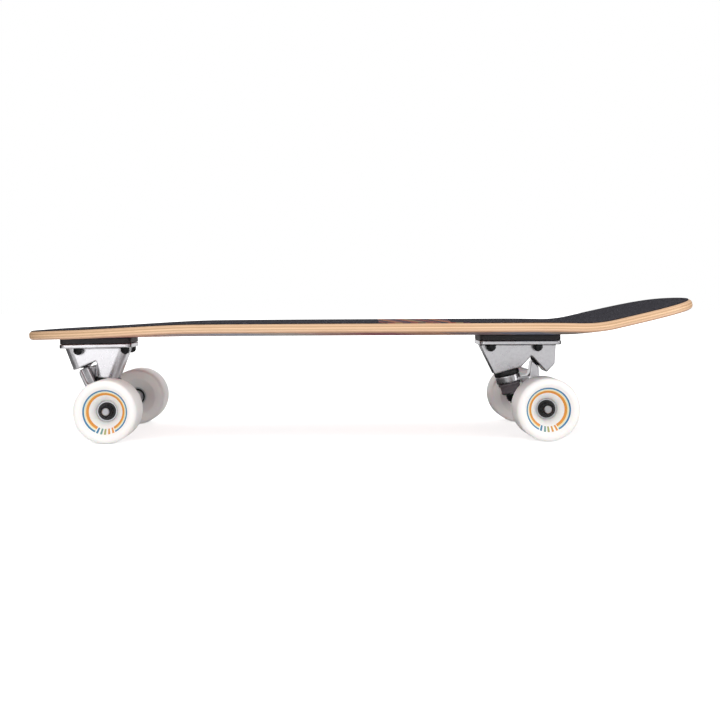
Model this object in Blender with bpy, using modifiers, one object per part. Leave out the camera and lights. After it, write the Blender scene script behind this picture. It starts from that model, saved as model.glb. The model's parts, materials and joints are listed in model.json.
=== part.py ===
"""Surfskate: a concave deck with a kicked tail, on two tilting trucks with four wheels.

+X runs from the nose to the tail, +Y to the right-hand side and +Z up. The origin is on the
ground under the middle of the board. Sizes are in millimetres and degrees, and mm() turns
them to Blender's metres.
"""
from dataclasses import dataclass
from math import cos, pi, radians, sin, sqrt, tan

import bmesh
import bpy
from mathutils import Matrix, Vector

# Deck
BOARD_LENGTH = 755.0
BOARD_WIDTH = 248.8
DECK_THICKNESS = 9.8
DECK_EDGE_RADIUS = 2.0
WIDEST_FROM_NOSE = 432.0
NOSE_TAPER, NOSE_ROUNDNESS = 3.8, 2.1
TAIL_TAPER, TAIL_ROUNDNESS = 13.0, 2.4
FLAT_WIDTH = 66.0
CONCAVE_DEPTH = 5.8
CONCAVE_POWER = 1.2
CONCAVE_FADE_FROM_NOSE = 200.0
TAIL_CONCAVE_LOSS = 0.8
TAIL_FADE_LEAD = 50.0
TAIL_FADE_LENGTH = 200.0
NOSE_LENGTH = 202.0
NOSE_ANGLE = 0.8
NOSE_BEND_RADIUS = 1500.0
TAIL_LENGTH = 142.0
TAIL_ANGLE = 14.6
TAIL_BEND_RADIUS = 150.0
GRIP_THICKNESS = 0.6
GRIP_MARGIN = 2.4

# Hardware between the deck and the trucks
SEAT_GAP = 0.3
PAST = 8.0
RISER_THICKNESS = 6.4
RISER_MARGIN = 0.6
FLANGE_THICKNESS = 4.7
FLANGE_WIDTH = 56.0
FLANGE_CORNER = 6.0
BOLT_SPACING_ALONG = 53.98
BOLT_SPACING_ACROSS = 41.28
BOLT_RADIUS = 2.4
BOLT_HEAD_RADIUS = 4.6
BOLT_HEAD_RIM = 0.7
BOLT_LENGTH = 30.2
BOLT_KEY_FLATS = 3.2
BOLT_KEY_DEPTH = 2.0
LOCK_NUT_FLATS = 9.5
LOCK_NUT_HEIGHT = 6.5
LOCK_NUT_HEX_HEIGHT = 4.4
LOCK_NUT_COLLAR_TOP = 4.5
LOCK_NUT_COLLAR_END = 3.7

# Trucks
TRUCK_HEIGHT = 77.7
BOSS_WIDTH = 29.0
WALL_ROUND = 9.0
KINGPIN_RADIUS = 4.75
KINGPIN_FLATS = 14.3
KINGPIN_HEAD_HEIGHT = 6.0
KINGPIN_HEAD_COVER = 3.4
KINGPIN_HEAD_ROOM = 2.5
KINGPIN_NUT_HEIGHT = 8.0
KINGPIN_END = 3.0
BUSHING_RADIUS = 14.6
BOARD_BUSHING_SHOWN = 5.7
BUSHING_PLUG_RADIUS = 9.0
BUSHING_PLUG_DEPTH = 3.0
BUSHING_ROOM = 1.5
ROAD_BUSHING_HEIGHT = 12.0
ROAD_BUSHING_RADIUS = 13.0
ROAD_BUSHING_FOOT = 12.0
CUP_WASHER_RADIUS = 11.5
CUP_WASHER_THICKNESS = 1.8
RING_RADIUS = 14.2
RING_THICKNESS = 8.9
RING_BORE_RADIUS = 8.0
RING_PROUD = 0.1
PIVOT_DEPTH = 6.0
PIVOT_TIP_RADIUS = 4.6
PIVOT_ROOT_RADIUS = 6.2
PIVOT_NOSE_LENGTH = 9.0
PIVOT_CUP_WALL = 2.6
PIVOT_CUP_PROUD = 1.0
PIVOT_HEAD_GAP = 2.4
PIVOT_PLAY = 0.4
COLUMN_HALF_WIDTH = 8.5
COLUMN_FOOT_HALF_WIDTH = 11.0
AXLE_TUBE_RADIUS = 9.0
AXLE_TUBE_END_RADIUS = 8.0
AXLE_TUBE_STRAIGHT = 56.0
HANGER_WIDTH = 157.0
SHOULDER_RADIUS = 6.0
SHOULDER_LENGTH = 0.7

# Wheels, bearings and axles
WHEEL_RADIUS = 34.0
WHEEL_WIDTH = 47.0
WHEEL_LIP_RADIUS = 5.5
WHEEL_FACE_RADIUS = 22.5
WHEEL_FACE_DEPTH = 5.2
WHEEL_MOUTH_RADIUS = 16.0
WHEEL_MOUTH_DEPTH = 8.0
WHEEL_BACK_MOUTH_RADIUS = 22.0
BEARING_RADIUS = 11.0
BEARING_WIDTH = 7.0
SPACER_LENGTH = 10.0
SPACER_WALL = 1.4
CORE_OFFSET = 5.5
CORE_LIP = 2.0
CORE_CHAMFER = 0.6
AXLE_RADIUS = 4.0
AXLE_END = 1.6
AXLE_NUT_FLATS = 12.7
AXLE_NUT_HEIGHT = 7.0
SPEED_WASHER_RADIUS = 6.0
SPEED_WASHER_THICKNESS = 1.0

# Fineness of the meshes
WHEEL_STEPS = 32
ROUND_STEPS = 28
SMALL_STEPS = 20
TINY_STEPS = 12
OUTLINE_POINTS = 92

# Worked out from the values above
HALF_LENGTH = BOARD_LENGTH / 2
HALF_WIDTH = BOARD_WIDTH / 2
HALF_THICKNESS = DECK_THICKNESS / 2
DECK_UNDERSIDE = WHEEL_RADIUS + TRUCK_HEIGHT
DECK_MIDDLE = DECK_UNDERSIDE + HALF_THICKNESS
RIM_HALF = HALF_THICKNESS - DECK_EDGE_RADIUS
NOSE_TIP = -HALF_LENGTH + RIM_HALF * sin(radians(NOSE_ANGLE))
TAIL_TIP = HALF_LENGTH - RIM_HALF * sin(radians(TAIL_ANGLE))
WIDEST = WIDEST_FROM_NOSE - HALF_LENGTH
NOSE_START = NOSE_LENGTH - HALF_LENGTH
TAIL_START = HALF_LENGTH - TAIL_LENGTH
CONCAVE_FULL = CONCAVE_FADE_FROM_NOSE - HALF_LENGTH
GRIP_TOP = DECK_THICKNESS + SEAT_GAP + GRIP_THICKNESS
RISER_TOP = -SEAT_GAP
RISER_BOTTOM = RISER_TOP - RISER_THICKNESS
FLANGE_TOP = RISER_BOTTOM - SEAT_GAP
FLANGE_BOTTOM = FLANGE_TOP - FLANGE_THICKNESS
RING_START = BOARD_BUSHING_SHOWN
RING_END = RING_START + RING_THICKNESS
WASHER_START = RING_END + ROAD_BUSHING_HEIGHT
KINGPIN_NUT_START = WASHER_START + CUP_WASHER_THICKNESS
KINGPIN_LENGTH_BELOW = KINGPIN_NUT_START + KINGPIN_NUT_HEIGHT + KINGPIN_END
CORE_START = HANGER_WIDTH / 2 + SHOULDER_LENGTH + SEAT_GAP
CORE_LENGTH = 2 * BEARING_WIDTH + SPACER_LENGTH
CORE_MIDDLE = CORE_START + CORE_LENGTH / 2
WHEEL_CENTRE = CORE_MIDDLE + CORE_OFFSET
AXLE_NUT_START = CORE_START + CORE_LENGTH
AXLE_HALF = AXLE_NUT_START + SPEED_WASHER_THICKNESS + AXLE_NUT_HEIGHT + AXLE_END


@dataclass
class Truck:
    """One truck, in its own frame: the origin is on the deck's underside in the middle of
    the bolts, +X points outwards to the board's nearer tip and +Z up. Points are (x, z)."""
    name: str
    from_tip: float          # from the board's nearer tip to the middle of the bolts
    outward: int             # -1 where outwards is towards the nose, +1 towards the tail
    flange: tuple            # the flange's inner and outer ends
    boss_root: float         # where the kingpin boss's inner wall leaves the flange
    heel_root: float         # where the pivot boss's outer wall leaves the flange
    kingpin_face: tuple      # the middle of the face that the bushing sits on
    kingpin_face_length: float
    kingpin_lean: float      # degrees that the kingpin's lower end leans outwards
    notch: tuple             # the top of the gap between the two bosses
    notch_round: float       # how round the kingpin boss is on the notch's side
    pivot_end: tuple         # the pivot face's lower end
    heel: tuple              # the corner beyond it, or None where the wall rises from there
    pivot_seat: float        # from the notch along the pivot face to the pivot cup
    axle_offset: float       # the axle's place outwards of the bolts' middle
    column: tuple            # the pivot arm: top point and radius, foot point and radius
    arms: tuple              # further limbs: two points, two radii, half width, offset in Y


FRONT = Truck(
    name="front", from_tip=85.0, outward=-1, flange=(-34.9, 47.6), boss_root=-30.8,
    heel_root=46.0, kingpin_face=(-3.2, -46.9), kingpin_face_length=23.2, kingpin_lean=6.5,
    notch=(8.3, -26.8), notch_round=5.9, pivot_end=(35.8, -37.8), heel=None, pivot_seat=14.2,
    axle_offset=-21.6, column=((22.0, -40.5), 7.0, (13.6, -58.5), 7.0),
    arms=(((11.0, -59.0), (-21.6, -75.5), 6.5, 7.5, 2.6, 18.0),
          ((11.0, -59.0), (-21.6, -75.5), 6.5, 7.5, 2.6, -18.0),
          ((-14.5, -58.5), (-21.6, -76.5), 4.5, 7.0, 11.0, 0.0),
          ((8.0, -57.5), (11.5, -59.0), 5.0, 6.5, 20.6, 0.0)))
REAR = Truck(
    name="rear", from_tip=196.0, outward=1, flange=(-40.9, 53.2), boss_root=-40.4,
    heel_root=49.1, kingpin_face=(-6.9, -42.2), kingpin_face_length=31.5, kingpin_lean=14.9,
    notch=(20.8, -24.8), notch_round=0.0, pivot_end=(38.2, -43.9), heel=(47.6, -34.0),
    pivot_seat=9.5, axle_offset=20.6, column=((25.4, -34.5), 4.3, (24.5, -77.0), 8.0),
    arms=(((8.5, -52.0), (23.0, -55.0), 2.4, 7.0, 9.0, 0.0),))
TRUCKS = (FRONT, REAR)
SIDES = {"left": -1, "right": 1}

COLOURS = {
    "maple": ("d8b98f", 0.55, 0.0), "grit": ("3e3c40", 0.95, 0.0), "pad": ("17181a", 0.7, 0.0),
    "black_steel": ("1b1b1d", 0.35, 0.8), "cast": ("c3c2c4", 0.38, 0.9),
    "bushing": ("121214", 0.5, 0.0), "steel": ("b7b8bb", 0.3, 1.0),
    "shield": ("222224", 0.45, 0.2), "urethane": ("f4f2ee", 0.4, 0.0)}


# Places and directions
def mm(*values):
    """Millimetres to a vector in metres."""
    return Vector(values) / 1000


def xz(point, y=0.0):
    """A point of a truck's side view, as a vector in millimetres."""
    return Vector((point[0], y, point[1]))


def linear(hex_colour):
    """An sRGB hex colour as linear RGBA."""
    shares = [int(hex_colour[i:i + 2], 16) / 255 for i in (0, 2, 4)]
    return [s / 12.92 if s <= 0.04045 else ((s + 0.055) / 1.055) ** 2.4 for s in shares] + [1.0]


# Scene and collections
def fresh_scene():
    """Remove every object and return the collections for parts and for cutters."""
    for old in list(bpy.data.objects):
        bpy.data.objects.remove(old, do_unlink=True)
    groups = []
    for name in ("surfskate", "cutters"):
        group = bpy.data.collections.new(name)
        bpy.context.scene.collection.children.link(group)
        groups.append(group)
    return groups


PARTS, CUTTERS = fresh_scene()


def part(name, mesh, finish):
    """A named object of the board with a material of its own."""
    colour, roughness, metallic = COLOURS[finish]
    material = bpy.data.materials.new(name)
    material.use_nodes = True
    shader = material.node_tree.nodes["Principled BSDF"]
    shader.inputs["Base Color"].default_value = linear(colour)
    shader.inputs["Roughness"].default_value = roughness
    shader.inputs["Metallic"].default_value = metallic
    material.diffuse_color = linear(colour)
    mesh.materials.clear()
    mesh.materials.append(material)
    obj = bpy.data.objects.new(name, mesh)
    PARTS.objects.link(obj)
    return obj


def guide(name, mesh):
    """A hidden object that only cuts or adds to a part."""
    obj = bpy.data.objects.new(name, mesh)
    obj.hide_render = True
    obj.display_type = "WIRE"
    CUTTERS.objects.link(obj)
    return obj


def place(obj, parent, origin=(0, 0, 0), up=(0, 0, 1)):
    """Parent an object, with its origin in millimetres and its Z axis along up."""
    obj.parent = parent
    obj.location = mm(*origin)
    obj.rotation_euler = Vector((0, 0, 1)).rotation_difference(Vector(up)).to_euler()
    return obj


def combine(obj, other, operation):
    """Add a Boolean of the other object."""
    boolean = obj.modifiers.new(f"{operation.lower()} {other.name}", "BOOLEAN")
    boolean.operation = operation
    boolean.object = other


def cut(obj, *tools):
    for tool in tools:
        combine(obj, tool, "DIFFERENCE")


def fuse(obj, *tools):
    for tool in tools:
        combine(obj, tool, "UNION")


# Basic shapes, as meshes
def mesh_from(bm, name):
    """Finish a bmesh as a mesh that is smooth across its shallow edges."""
    bmesh.ops.recalc_face_normals(bm, faces=bm.faces)
    mesh = bpy.data.meshes.new(name)
    bm.to_mesh(mesh)
    bm.free()
    mesh.shade_smooth()
    mesh.set_sharp_from_angle(angle=radians(35))
    return mesh


def cylinder(name, radius, low, high, steps=ROUND_STEPS, top_radius=None):
    """A cylinder or cone about Z between two heights."""
    bm = bmesh.new()
    middle = Matrix.Translation(mm(0, 0, (low + high) / 2))
    bmesh.ops.create_cone(
        bm, cap_ends=True, segments=steps, radius1=radius / 1000,
        radius2=(radius if top_radius is None else top_radius) / 1000,
        depth=(high - low) / 1000, matrix=middle)
    return mesh_from(bm, name)


def block(name, size, centre):
    """A box of a size about a centre."""
    bm = bmesh.new()
    bmesh.ops.create_cube(bm, size=1.0, matrix=Matrix.LocRotScale(mm(*centre), None, mm(*size)))
    return mesh_from(bm, name)


def profile(name, points, closed=False):
    """The line that a Screw modifier turns about Z: (radius, height) down the outer side."""
    mesh = bpy.data.meshes.new(name)
    edges = [(i, i + 1) for i in range(len(points) - 1)]
    if closed:
        edges.append((len(points) - 1, 0))
    mesh.from_pydata([mm(radius, 0, height) for radius, height in points], edges, [])
    return mesh


def turn(obj, steps):
    """Turn an object's profile about its Z axis."""
    screw = obj.modifiers.new("turn", "SCREW")
    screw.steps = steps
    screw.render_steps = steps
    screw.use_merge_vertices = True
    screw.merge_threshold = 0.00001
    return obj


def arc(centre, radius, start, end, count):
    """Points of an arc from one angle to another, in degrees."""
    turns = [radians(start + (end - start) * i / count) for i in range(count + 1)]
    return [(centre[0] + radius * cos(t), centre[1] + radius * sin(t)) for t in turns]


def polygon(flats, corners=6):
    """A polygon by the distance between opposite flats."""
    return arc((0, 0), flats / 2 / cos(pi / corners), 0, 360, corners)[:-1]


def circle(radius, steps, centre=(0, 0)):
    return arc(centre, radius, 0, 360, steps)[:-1]


def rounded_rectangle(low, high, corner, steps=4):
    """A rectangle between two corner points, with round corners."""
    points = []
    for x, y, start in ((high[0], high[1], 0), (low[0], high[1], 90),
                        (low[0], low[1], 180), (high[0], low[1], 270)):
        centre = (x - corner if x == high[0] else x + corner,
                  y - corner if y == high[1] else y + corner)
        points += arc(centre, corner, start, start + 90, steps)
    return points


def extruded(name, outlines, low, high):
    """A flat outline, with further outlines as its holes, filled and extruded along Z."""
    curve = bpy.data.curves.new(name, "CURVE")
    curve.dimensions = "2D"
    curve.fill_mode = "BOTH"
    curve.extrude = (high - low) / 2000
    for outline in outlines:
        spline = curve.splines.new("POLY")
        spline.points.add(len(outline) - 1)
        for point, (x, y) in zip(spline.points, outline):
            point.co = (x / 1000, y / 1000, 0, 1)
        spline.use_cyclic_u = True
    obj = bpy.data.objects.new(name, curve)
    CUTTERS.objects.link(obj)
    bpy.context.view_layer.update()
    filled = bpy.data.meshes.new_from_object(obj.evaluated_get(bpy.context.evaluated_depsgraph_get()))
    bpy.data.objects.remove(obj)
    bm = bmesh.new()
    bm.from_mesh(filled)
    bpy.data.meshes.remove(filled)
    bmesh.ops.remove_doubles(bm, verts=bm.verts, dist=0.00001)
    bmesh.ops.dissolve_limit(bm, angle_limit=radians(1), verts=bm.verts, edges=bm.edges)
    bmesh.ops.translate(bm, verts=bm.verts, vec=mm(0, 0, (low + high) / 2))
    return bm


def limb(name, first, second, first_radius, second_radius, half_width, offset=0.0, foot_width=None):
    """A cast limb: the hull of two discs that lie across the board."""
    bm = bmesh.new()
    ends = ((first, first_radius, half_width), (second, second_radius, foot_width or half_width))
    for point, radius, half in ends:
        for side in (-half, half):
            across = Matrix.Translation(mm(point[0], offset + side, point[1]))
            bmesh.ops.create_circle(bm, segments=SMALL_STEPS, radius=radius / 1000,
                                    matrix=across @ Matrix.Rotation(pi / 2, 4, "X"))
    bmesh.ops.convex_hull(bm, input=bm.verts)
    bmesh.ops.delete(bm, geom=[v for v in bm.verts if not v.link_faces], context="VERTS")
    bmesh.ops.delete(bm, geom=[e for e in bm.edges if not e.link_faces], context="EDGES")
    bmesh.ops.dissolve_limit(bm, angle_limit=radians(1), verts=bm.verts, edges=bm.edges)
    return guide(name, mesh_from(bm, name))


# The board's surface
def bend(distance, radius, angle):
    """The height at a distance past the start of a bend: an arc, then a straight slope."""
    run = radius * sin(radians(angle))
    if distance <= 0:
        return 0.0
    if distance < run:
        return radius - sqrt(radius ** 2 - distance ** 2)
    return radius * (1 - cos(radians(angle))) + (distance - run) * tan(radians(angle))


def ease(share):
    """A smooth step from 0 to 1."""
    share = min(max(share, 0.0), 1.0)
    return share * share * (3 - 2 * share)


def surface(x, y):
    """The height of the board's middle layer, from the concave, the nose and the tail."""
    across = max(abs(y) - FLAT_WIDTH / 2, 0.0) / (HALF_WIDTH - FLAT_WIDTH / 2)
    fade = ease((x + HALF_LENGTH) / (CONCAVE_FULL + HALF_LENGTH))
    kept = 1 - TAIL_CONCAVE_LOSS * ease((x - TAIL_START + TAIL_FADE_LEAD) / TAIL_FADE_LENGTH)
    concave = CONCAVE_DEPTH * fade * kept * across ** CONCAVE_POWER
    tail = bend(x - TAIL_START, TAIL_BEND_RADIUS, TAIL_ANGLE)
    nose = bend(NOSE_START - x, NOSE_BEND_RADIUS, NOSE_ANGLE)
    return DECK_MIDDLE + concave + tail - nose


def surface_normal(x, y, step=0.5):
    slope_x = (surface(x + step, y) - surface(x - step, y)) / (2 * step)
    slope_y = (surface(x, y + step) - surface(x, y - step)) / (2 * step)
    return Vector((-slope_x, -slope_y, 1)).normalized()


def board_outline(inset):
    """The board seen from above: a superellipse half for the nose and one for the tail."""
    points = []
    for i in range(OUTLINE_POINTS):
        turn_angle = 2 * pi * i / OUTLINE_POINTS
        along, side = cos(turn_angle), (1 if sin(turn_angle) >= 0 else -1)
        taper, roundness = (TAIL_TAPER, TAIL_ROUNDNESS) if along > 0 else (NOSE_TAPER, NOSE_ROUNDNESS)
        reach = (TAIL_TIP - WIDEST if along > 0 else WIDEST - NOSE_TIP) - inset
        width = max(1 - abs(along) ** taper, 0.0) ** (1 / roundness)
        points.append((WIDEST + reach * along, side * (HALF_WIDTH - inset) * width))
    return points


def edge_distance(point, outline):
    """How far a point lies from the outline."""
    best = HALF_WIDTH
    for start, end in zip(outline, outline[1:] + outline[:1]):
        a, b = Vector(start), Vector(end)
        share = (point - a).dot(b - a) / (b - a).length_squared
        nearest = a + (b - a) * min(max(share, 0.0), 1.0)
        best = min(best, (point - nearest).length)
    return best


def stations():
    """Where the board is divided along X: finely over its bends, coarsely between them."""
    tail_run = TAIL_BEND_RADIUS * sin(radians(TAIL_ANGLE))
    nose_run = NOSE_BEND_RADIUS * sin(radians(NOSE_ANGLE))
    over_tail = [TAIL_START + tail_run * i / 7 for i in range(8)]
    past_tail = [TAIL_START + tail_run + (TAIL_LENGTH - tail_run) * i / 4 for i in (1, 2, 3)]
    over_nose = [NOSE_START - nose_run * i / 2 for i in range(3)]
    fading = [-HALF_LENGTH + (CONCAVE_FULL + HALF_LENGTH) * i / 7 for i in range(1, 8)]
    return over_tail + past_tail + over_nose + fading + [WIDEST]


def board_layer(name, finish, inset, low, high, edge_radius):
    """A layer of the board between two heights above its middle layer, with rounded edges."""
    outline = board_outline(inset)
    bm = bmesh.new()
    bm.faces.new([bm.verts.new(mm(x, y, 0)) for x, y in outline])
    for share in (0.15, 0.35, 0.5) if edge_radius else ():
        bmesh.ops.inset_region(bm, faces=bm.faces, thickness=edge_radius * share / 1000,
                               use_even_offset=True, use_boundary=True)
    rows = [side * (FLAT_WIDTH / 2 + (HALF_WIDTH - FLAT_WIDTH / 2) * share)
            for share in (0.0, 0.25, 0.6) for side in (-1, 1)]
    planes = [((x, 0, 0), (1, 0, 0)) for x in stations()] + [((0, y, 0), (0, 1, 0)) for y in rows]
    for point, normal in planes:
        bmesh.ops.bisect_plane(bm, geom=bm.verts[:] + bm.edges[:] + bm.faces[:],
                               plane_co=mm(*point), plane_no=normal, dist=0.00002)
    bmesh.ops.remove_doubles(bm, verts=bm.verts, dist=0.0002)
    rim = [edge for edge in bm.edges if edge.is_boundary]
    raised = bmesh.ops.extrude_face_region(bm, geom=bm.faces[:], use_keep_orig=True)["geom"]
    upper = {item for item in raised if isinstance(item, bmesh.types.BMVert)}
    middle, half = (low + high) / 2, (high - low) / 2
    for vert in bm.verts:
        x, y = vert.co.x * 1000, vert.co.y * 1000
        depth = max(edge_radius - edge_distance(Vector((x, y)), outline), 0.0)
        rounding = edge_radius - sqrt(max(edge_radius ** 2 - depth ** 2, 0.0))
        height = middle + (half - rounding) * (1 if vert in upper else -1)
        vert.co = mm(*(Vector((x, y, surface(x, y))) + surface_normal(x, y) * height))
    return part(name, mesh_from(bm, name), finish)


# Trucks
def truck_frame(truck):
    """An empty at the middle of a truck's bolts, tilted with the deck's underside."""
    x = truck.outward * (HALF_LENGTH - truck.from_tip)
    normal = surface_normal(x, 0)
    frame = bpy.data.objects.new(f"{truck.name}_truck_frame", None)
    PARTS.objects.link(frame)
    below = Vector((x, 0, surface(x, 0))) - normal * HALF_THICKNESS
    outward = Vector((truck.outward, 0, 0))
    outward = (outward - normal * outward.dot(normal)).normalized()
    across = normal.cross(outward)
    axes = Matrix((outward, across, normal)).transposed().to_4x4()
    frame.matrix_world = Matrix.Translation(mm(*below)) @ axes
    bpy.context.view_layer.update()
    return frame


def bolt_places():
    return [(x * BOLT_SPACING_ALONG / 2, y * BOLT_SPACING_ACROSS / 2)
            for x in (-1, 1) for y in (-1, 1)]


def bolt_profile(clearance=0.0, extra=0.0):
    """A countersunk bolt, or with a clearance the hole that it goes through."""
    head, shank = BOLT_HEAD_RADIUS + clearance, BOLT_RADIUS + clearance
    rim = GRIP_TOP - BOLT_HEAD_RIM - clearance / 2
    return [(0, GRIP_TOP + extra), (head, GRIP_TOP + extra), (head, rim),
            (shank, rim - (head - shank)), (shank, GRIP_TOP - BOLT_LENGTH - extra),
            (0, GRIP_TOP - BOLT_LENGTH - extra)]


def deck_bolts(truck, frame, layers):
    """The bolts and lock nuts of one truck, and their holes in what they go through."""
    key = guide(f"{truck.name}_bolt_key",
                mesh_from(extruded("key", [polygon(BOLT_KEY_FLATS)], GRIP_TOP - BOLT_KEY_DEPTH,
                                   GRIP_TOP + PAST), "key"))
    nut_top = FLANGE_BOTTOM - SEAT_GAP
    nut_low = nut_top - LOCK_NUT_HEIGHT
    nut_bore = BOLT_RADIUS + SEAT_GAP
    nut_outline = [polygon(LOCK_NUT_FLATS), circle(nut_bore, TINY_STEPS)]
    collar = [(LOCK_NUT_COLLAR_TOP, nut_top - SEAT_GAP), (LOCK_NUT_COLLAR_END, nut_low),
              (nut_bore, nut_low), (nut_bore, nut_top - SEAT_GAP)]
    for x, y in bolt_places():
        along = "inner" if x < 0 else "outer"
        side = "left" if y * truck.outward < 0 else "right"
        corner = f"{truck.name}_{along}_{side}"
        hole = guide(f"{corner}_bolt_hole", profile("hole", bolt_profile(SEAT_GAP, PAST)))
        place(turn(hole, TINY_STEPS), frame, (x, y, 0))
        for layer in layers:
            cut(layer, hole)
        bolt = part(f"{corner}_deck_bolt", profile("bolt", bolt_profile()), "black_steel")
        place(turn(bolt, TINY_STEPS), frame, (x, y, 0))
        socket = guide(f"{corner}_key", key.data)
        place(socket, frame, (x, y, 0))
        cut(bolt, socket)
        nut = mesh_from(extruded("nut", nut_outline, nut_top - LOCK_NUT_HEX_HEIGHT, nut_top), "nut")
        nut = place(part(f"{corner}_lock_nut", nut, "black_steel"), frame, (x, y, 0))
        foot = guide(f"{corner}_nut_collar", profile("collar", collar, closed=True))
        fuse(nut, place(turn(foot, TINY_STEPS), frame, (x, y, 0)))
    bpy.data.objects.remove(key)


def plate_outlines(truck, margin):
    """A plate of the flange's outline less a margin, with its four bolt holes."""
    low = (truck.flange[0] + margin, -FLANGE_WIDTH / 2 + margin)
    high = (truck.flange[1] - margin, FLANGE_WIDTH / 2 - margin)
    holes = [circle(BOLT_RADIUS + SEAT_GAP, TINY_STEPS, centre) for centre in bolt_places()]
    return [rounded_rectangle(low, high, FLANGE_CORNER - margin)] + holes


def kingpin_axis(truck):
    """The middle of the bushing's face and the direction down the kingpin."""
    lean = radians(truck.kingpin_lean)
    return xz(truck.kingpin_face), Vector((sin(lean), 0, -cos(lean)))


def ring_centre(truck):
    face, down = kingpin_axis(truck)
    return face + down * (RING_START + RING_END) / 2


def pivot_face(truck):
    """The pivot cup's place on the pivot face, and the direction out of that face."""
    along = (xz(truck.pivot_end) - xz(truck.notch)).normalized()
    return xz(truck.notch) + along * truck.pivot_seat, Vector((along.z, 0, -along.x))


def steering_axis(truck):
    """The pivot's centre, and the direction from the hanger's ring up through the pivot."""
    seat = pivot_face(truck)[0]
    up = (seat - ring_centre(truck)).normalized()
    return seat + up * PIVOT_DEPTH, up


def side_view(point):
    """A point's place in the side view, to a tenth of a millimetre, to compare it by."""
    return round(point.x, 4), round(point.z, 4)


def boss_solid(truck):
    """The base's two bosses as one block: the side view's outline, with rounded end walls."""
    face, down = kingpin_axis(truck)
    along = Vector((-down.z, 0, down.x)) * truck.kingpin_face_length / 2
    inner, outer = face - along, face + along
    root = FLANGE_BOTTOM + FLANGE_THICKNESS / 2
    points = [(truck.boss_root, root), (inner.x, inner.z), (outer.x, outer.z),
              truck.notch, truck.pivot_end]
    points += ([truck.heel] if truck.heel else []) + [(truck.heel_root, root)]
    bm = extruded("boss", [points], -BOSS_WIDTH / 2, BOSS_WIDTH / 2)
    bmesh.ops.rotate(bm, verts=bm.verts, matrix=Matrix.Rotation(pi / 2, 3, "X"))
    walls = ((points[0], points[1], WALL_ROUND), (points[-2], points[-1], WALL_ROUND),
             (points[2], points[3], truck.notch_round))
    for first, second, radius in walls:
        ends = {side_view(xz(first) / 1000), side_view(xz(second) / 1000)}
        chosen = [edge for edge in bm.edges if {side_view(v.co) for v in edge.verts} == ends]
        bmesh.ops.bevel(bm, geom=chosen, offset=radius / 1000, segments=4, profile=0.5,
                        affect="EDGES", material=-1)
    return guide(f"{truck.name}_boss", mesh_from(bm, "boss"))


def truck_base(truck, frame):
    """The cast base with its bolt holes, kingpin bore, bushing seat and pivot socket."""
    flange = mesh_from(extruded("flange", plate_outlines(truck, 0.0), FLANGE_BOTTOM, FLANGE_TOP),
                       "flange")
    base = place(part(f"{truck.name}_base", flange, "cast"), frame)
    fuse(base, place(boss_solid(truck), frame))
    face, down = kingpin_axis(truck)
    head_low = kingpin_head_low(truck)
    tools = [
        cylinder("kingpin bore", KINGPIN_RADIUS + SEAT_GAP, -PAST, TRUCK_HEIGHT, SMALL_STEPS),
        cylinder("kingpin head recess", KINGPIN_FLATS / 2 + KINGPIN_HEAD_ROOM, head_low - SEAT_GAP,
                 TRUCK_HEIGHT, SMALL_STEPS),
        cylinder("bushing seat", BUSHING_PLUG_RADIUS + SEAT_GAP, -PAST, BUSHING_PLUG_DEPTH)]
    for tool in tools:
        cut(base, place(guide(f"{truck.name} {tool.name}", tool), frame, face, -down))
    centre, up = steering_axis(truck)
    room = PIVOT_TIP_RADIUS + PIVOT_CUP_WALL + SEAT_GAP
    socket = cylinder("pivot socket", room, -PIVOT_NOSE_LENGTH - PAST, room, SMALL_STEPS)
    cut(base, place(guide(f"{truck.name} pivot socket", socket), frame, centre, up))
    return base


def kingpin_head_low(truck):
    """How far up the kingpin, from the bushing's face, the underside of its head lies."""
    face, down = kingpin_axis(truck)
    return (FLANGE_TOP - KINGPIN_HEAD_COVER - face.z) / -down.z - KINGPIN_HEAD_HEIGHT


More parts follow.
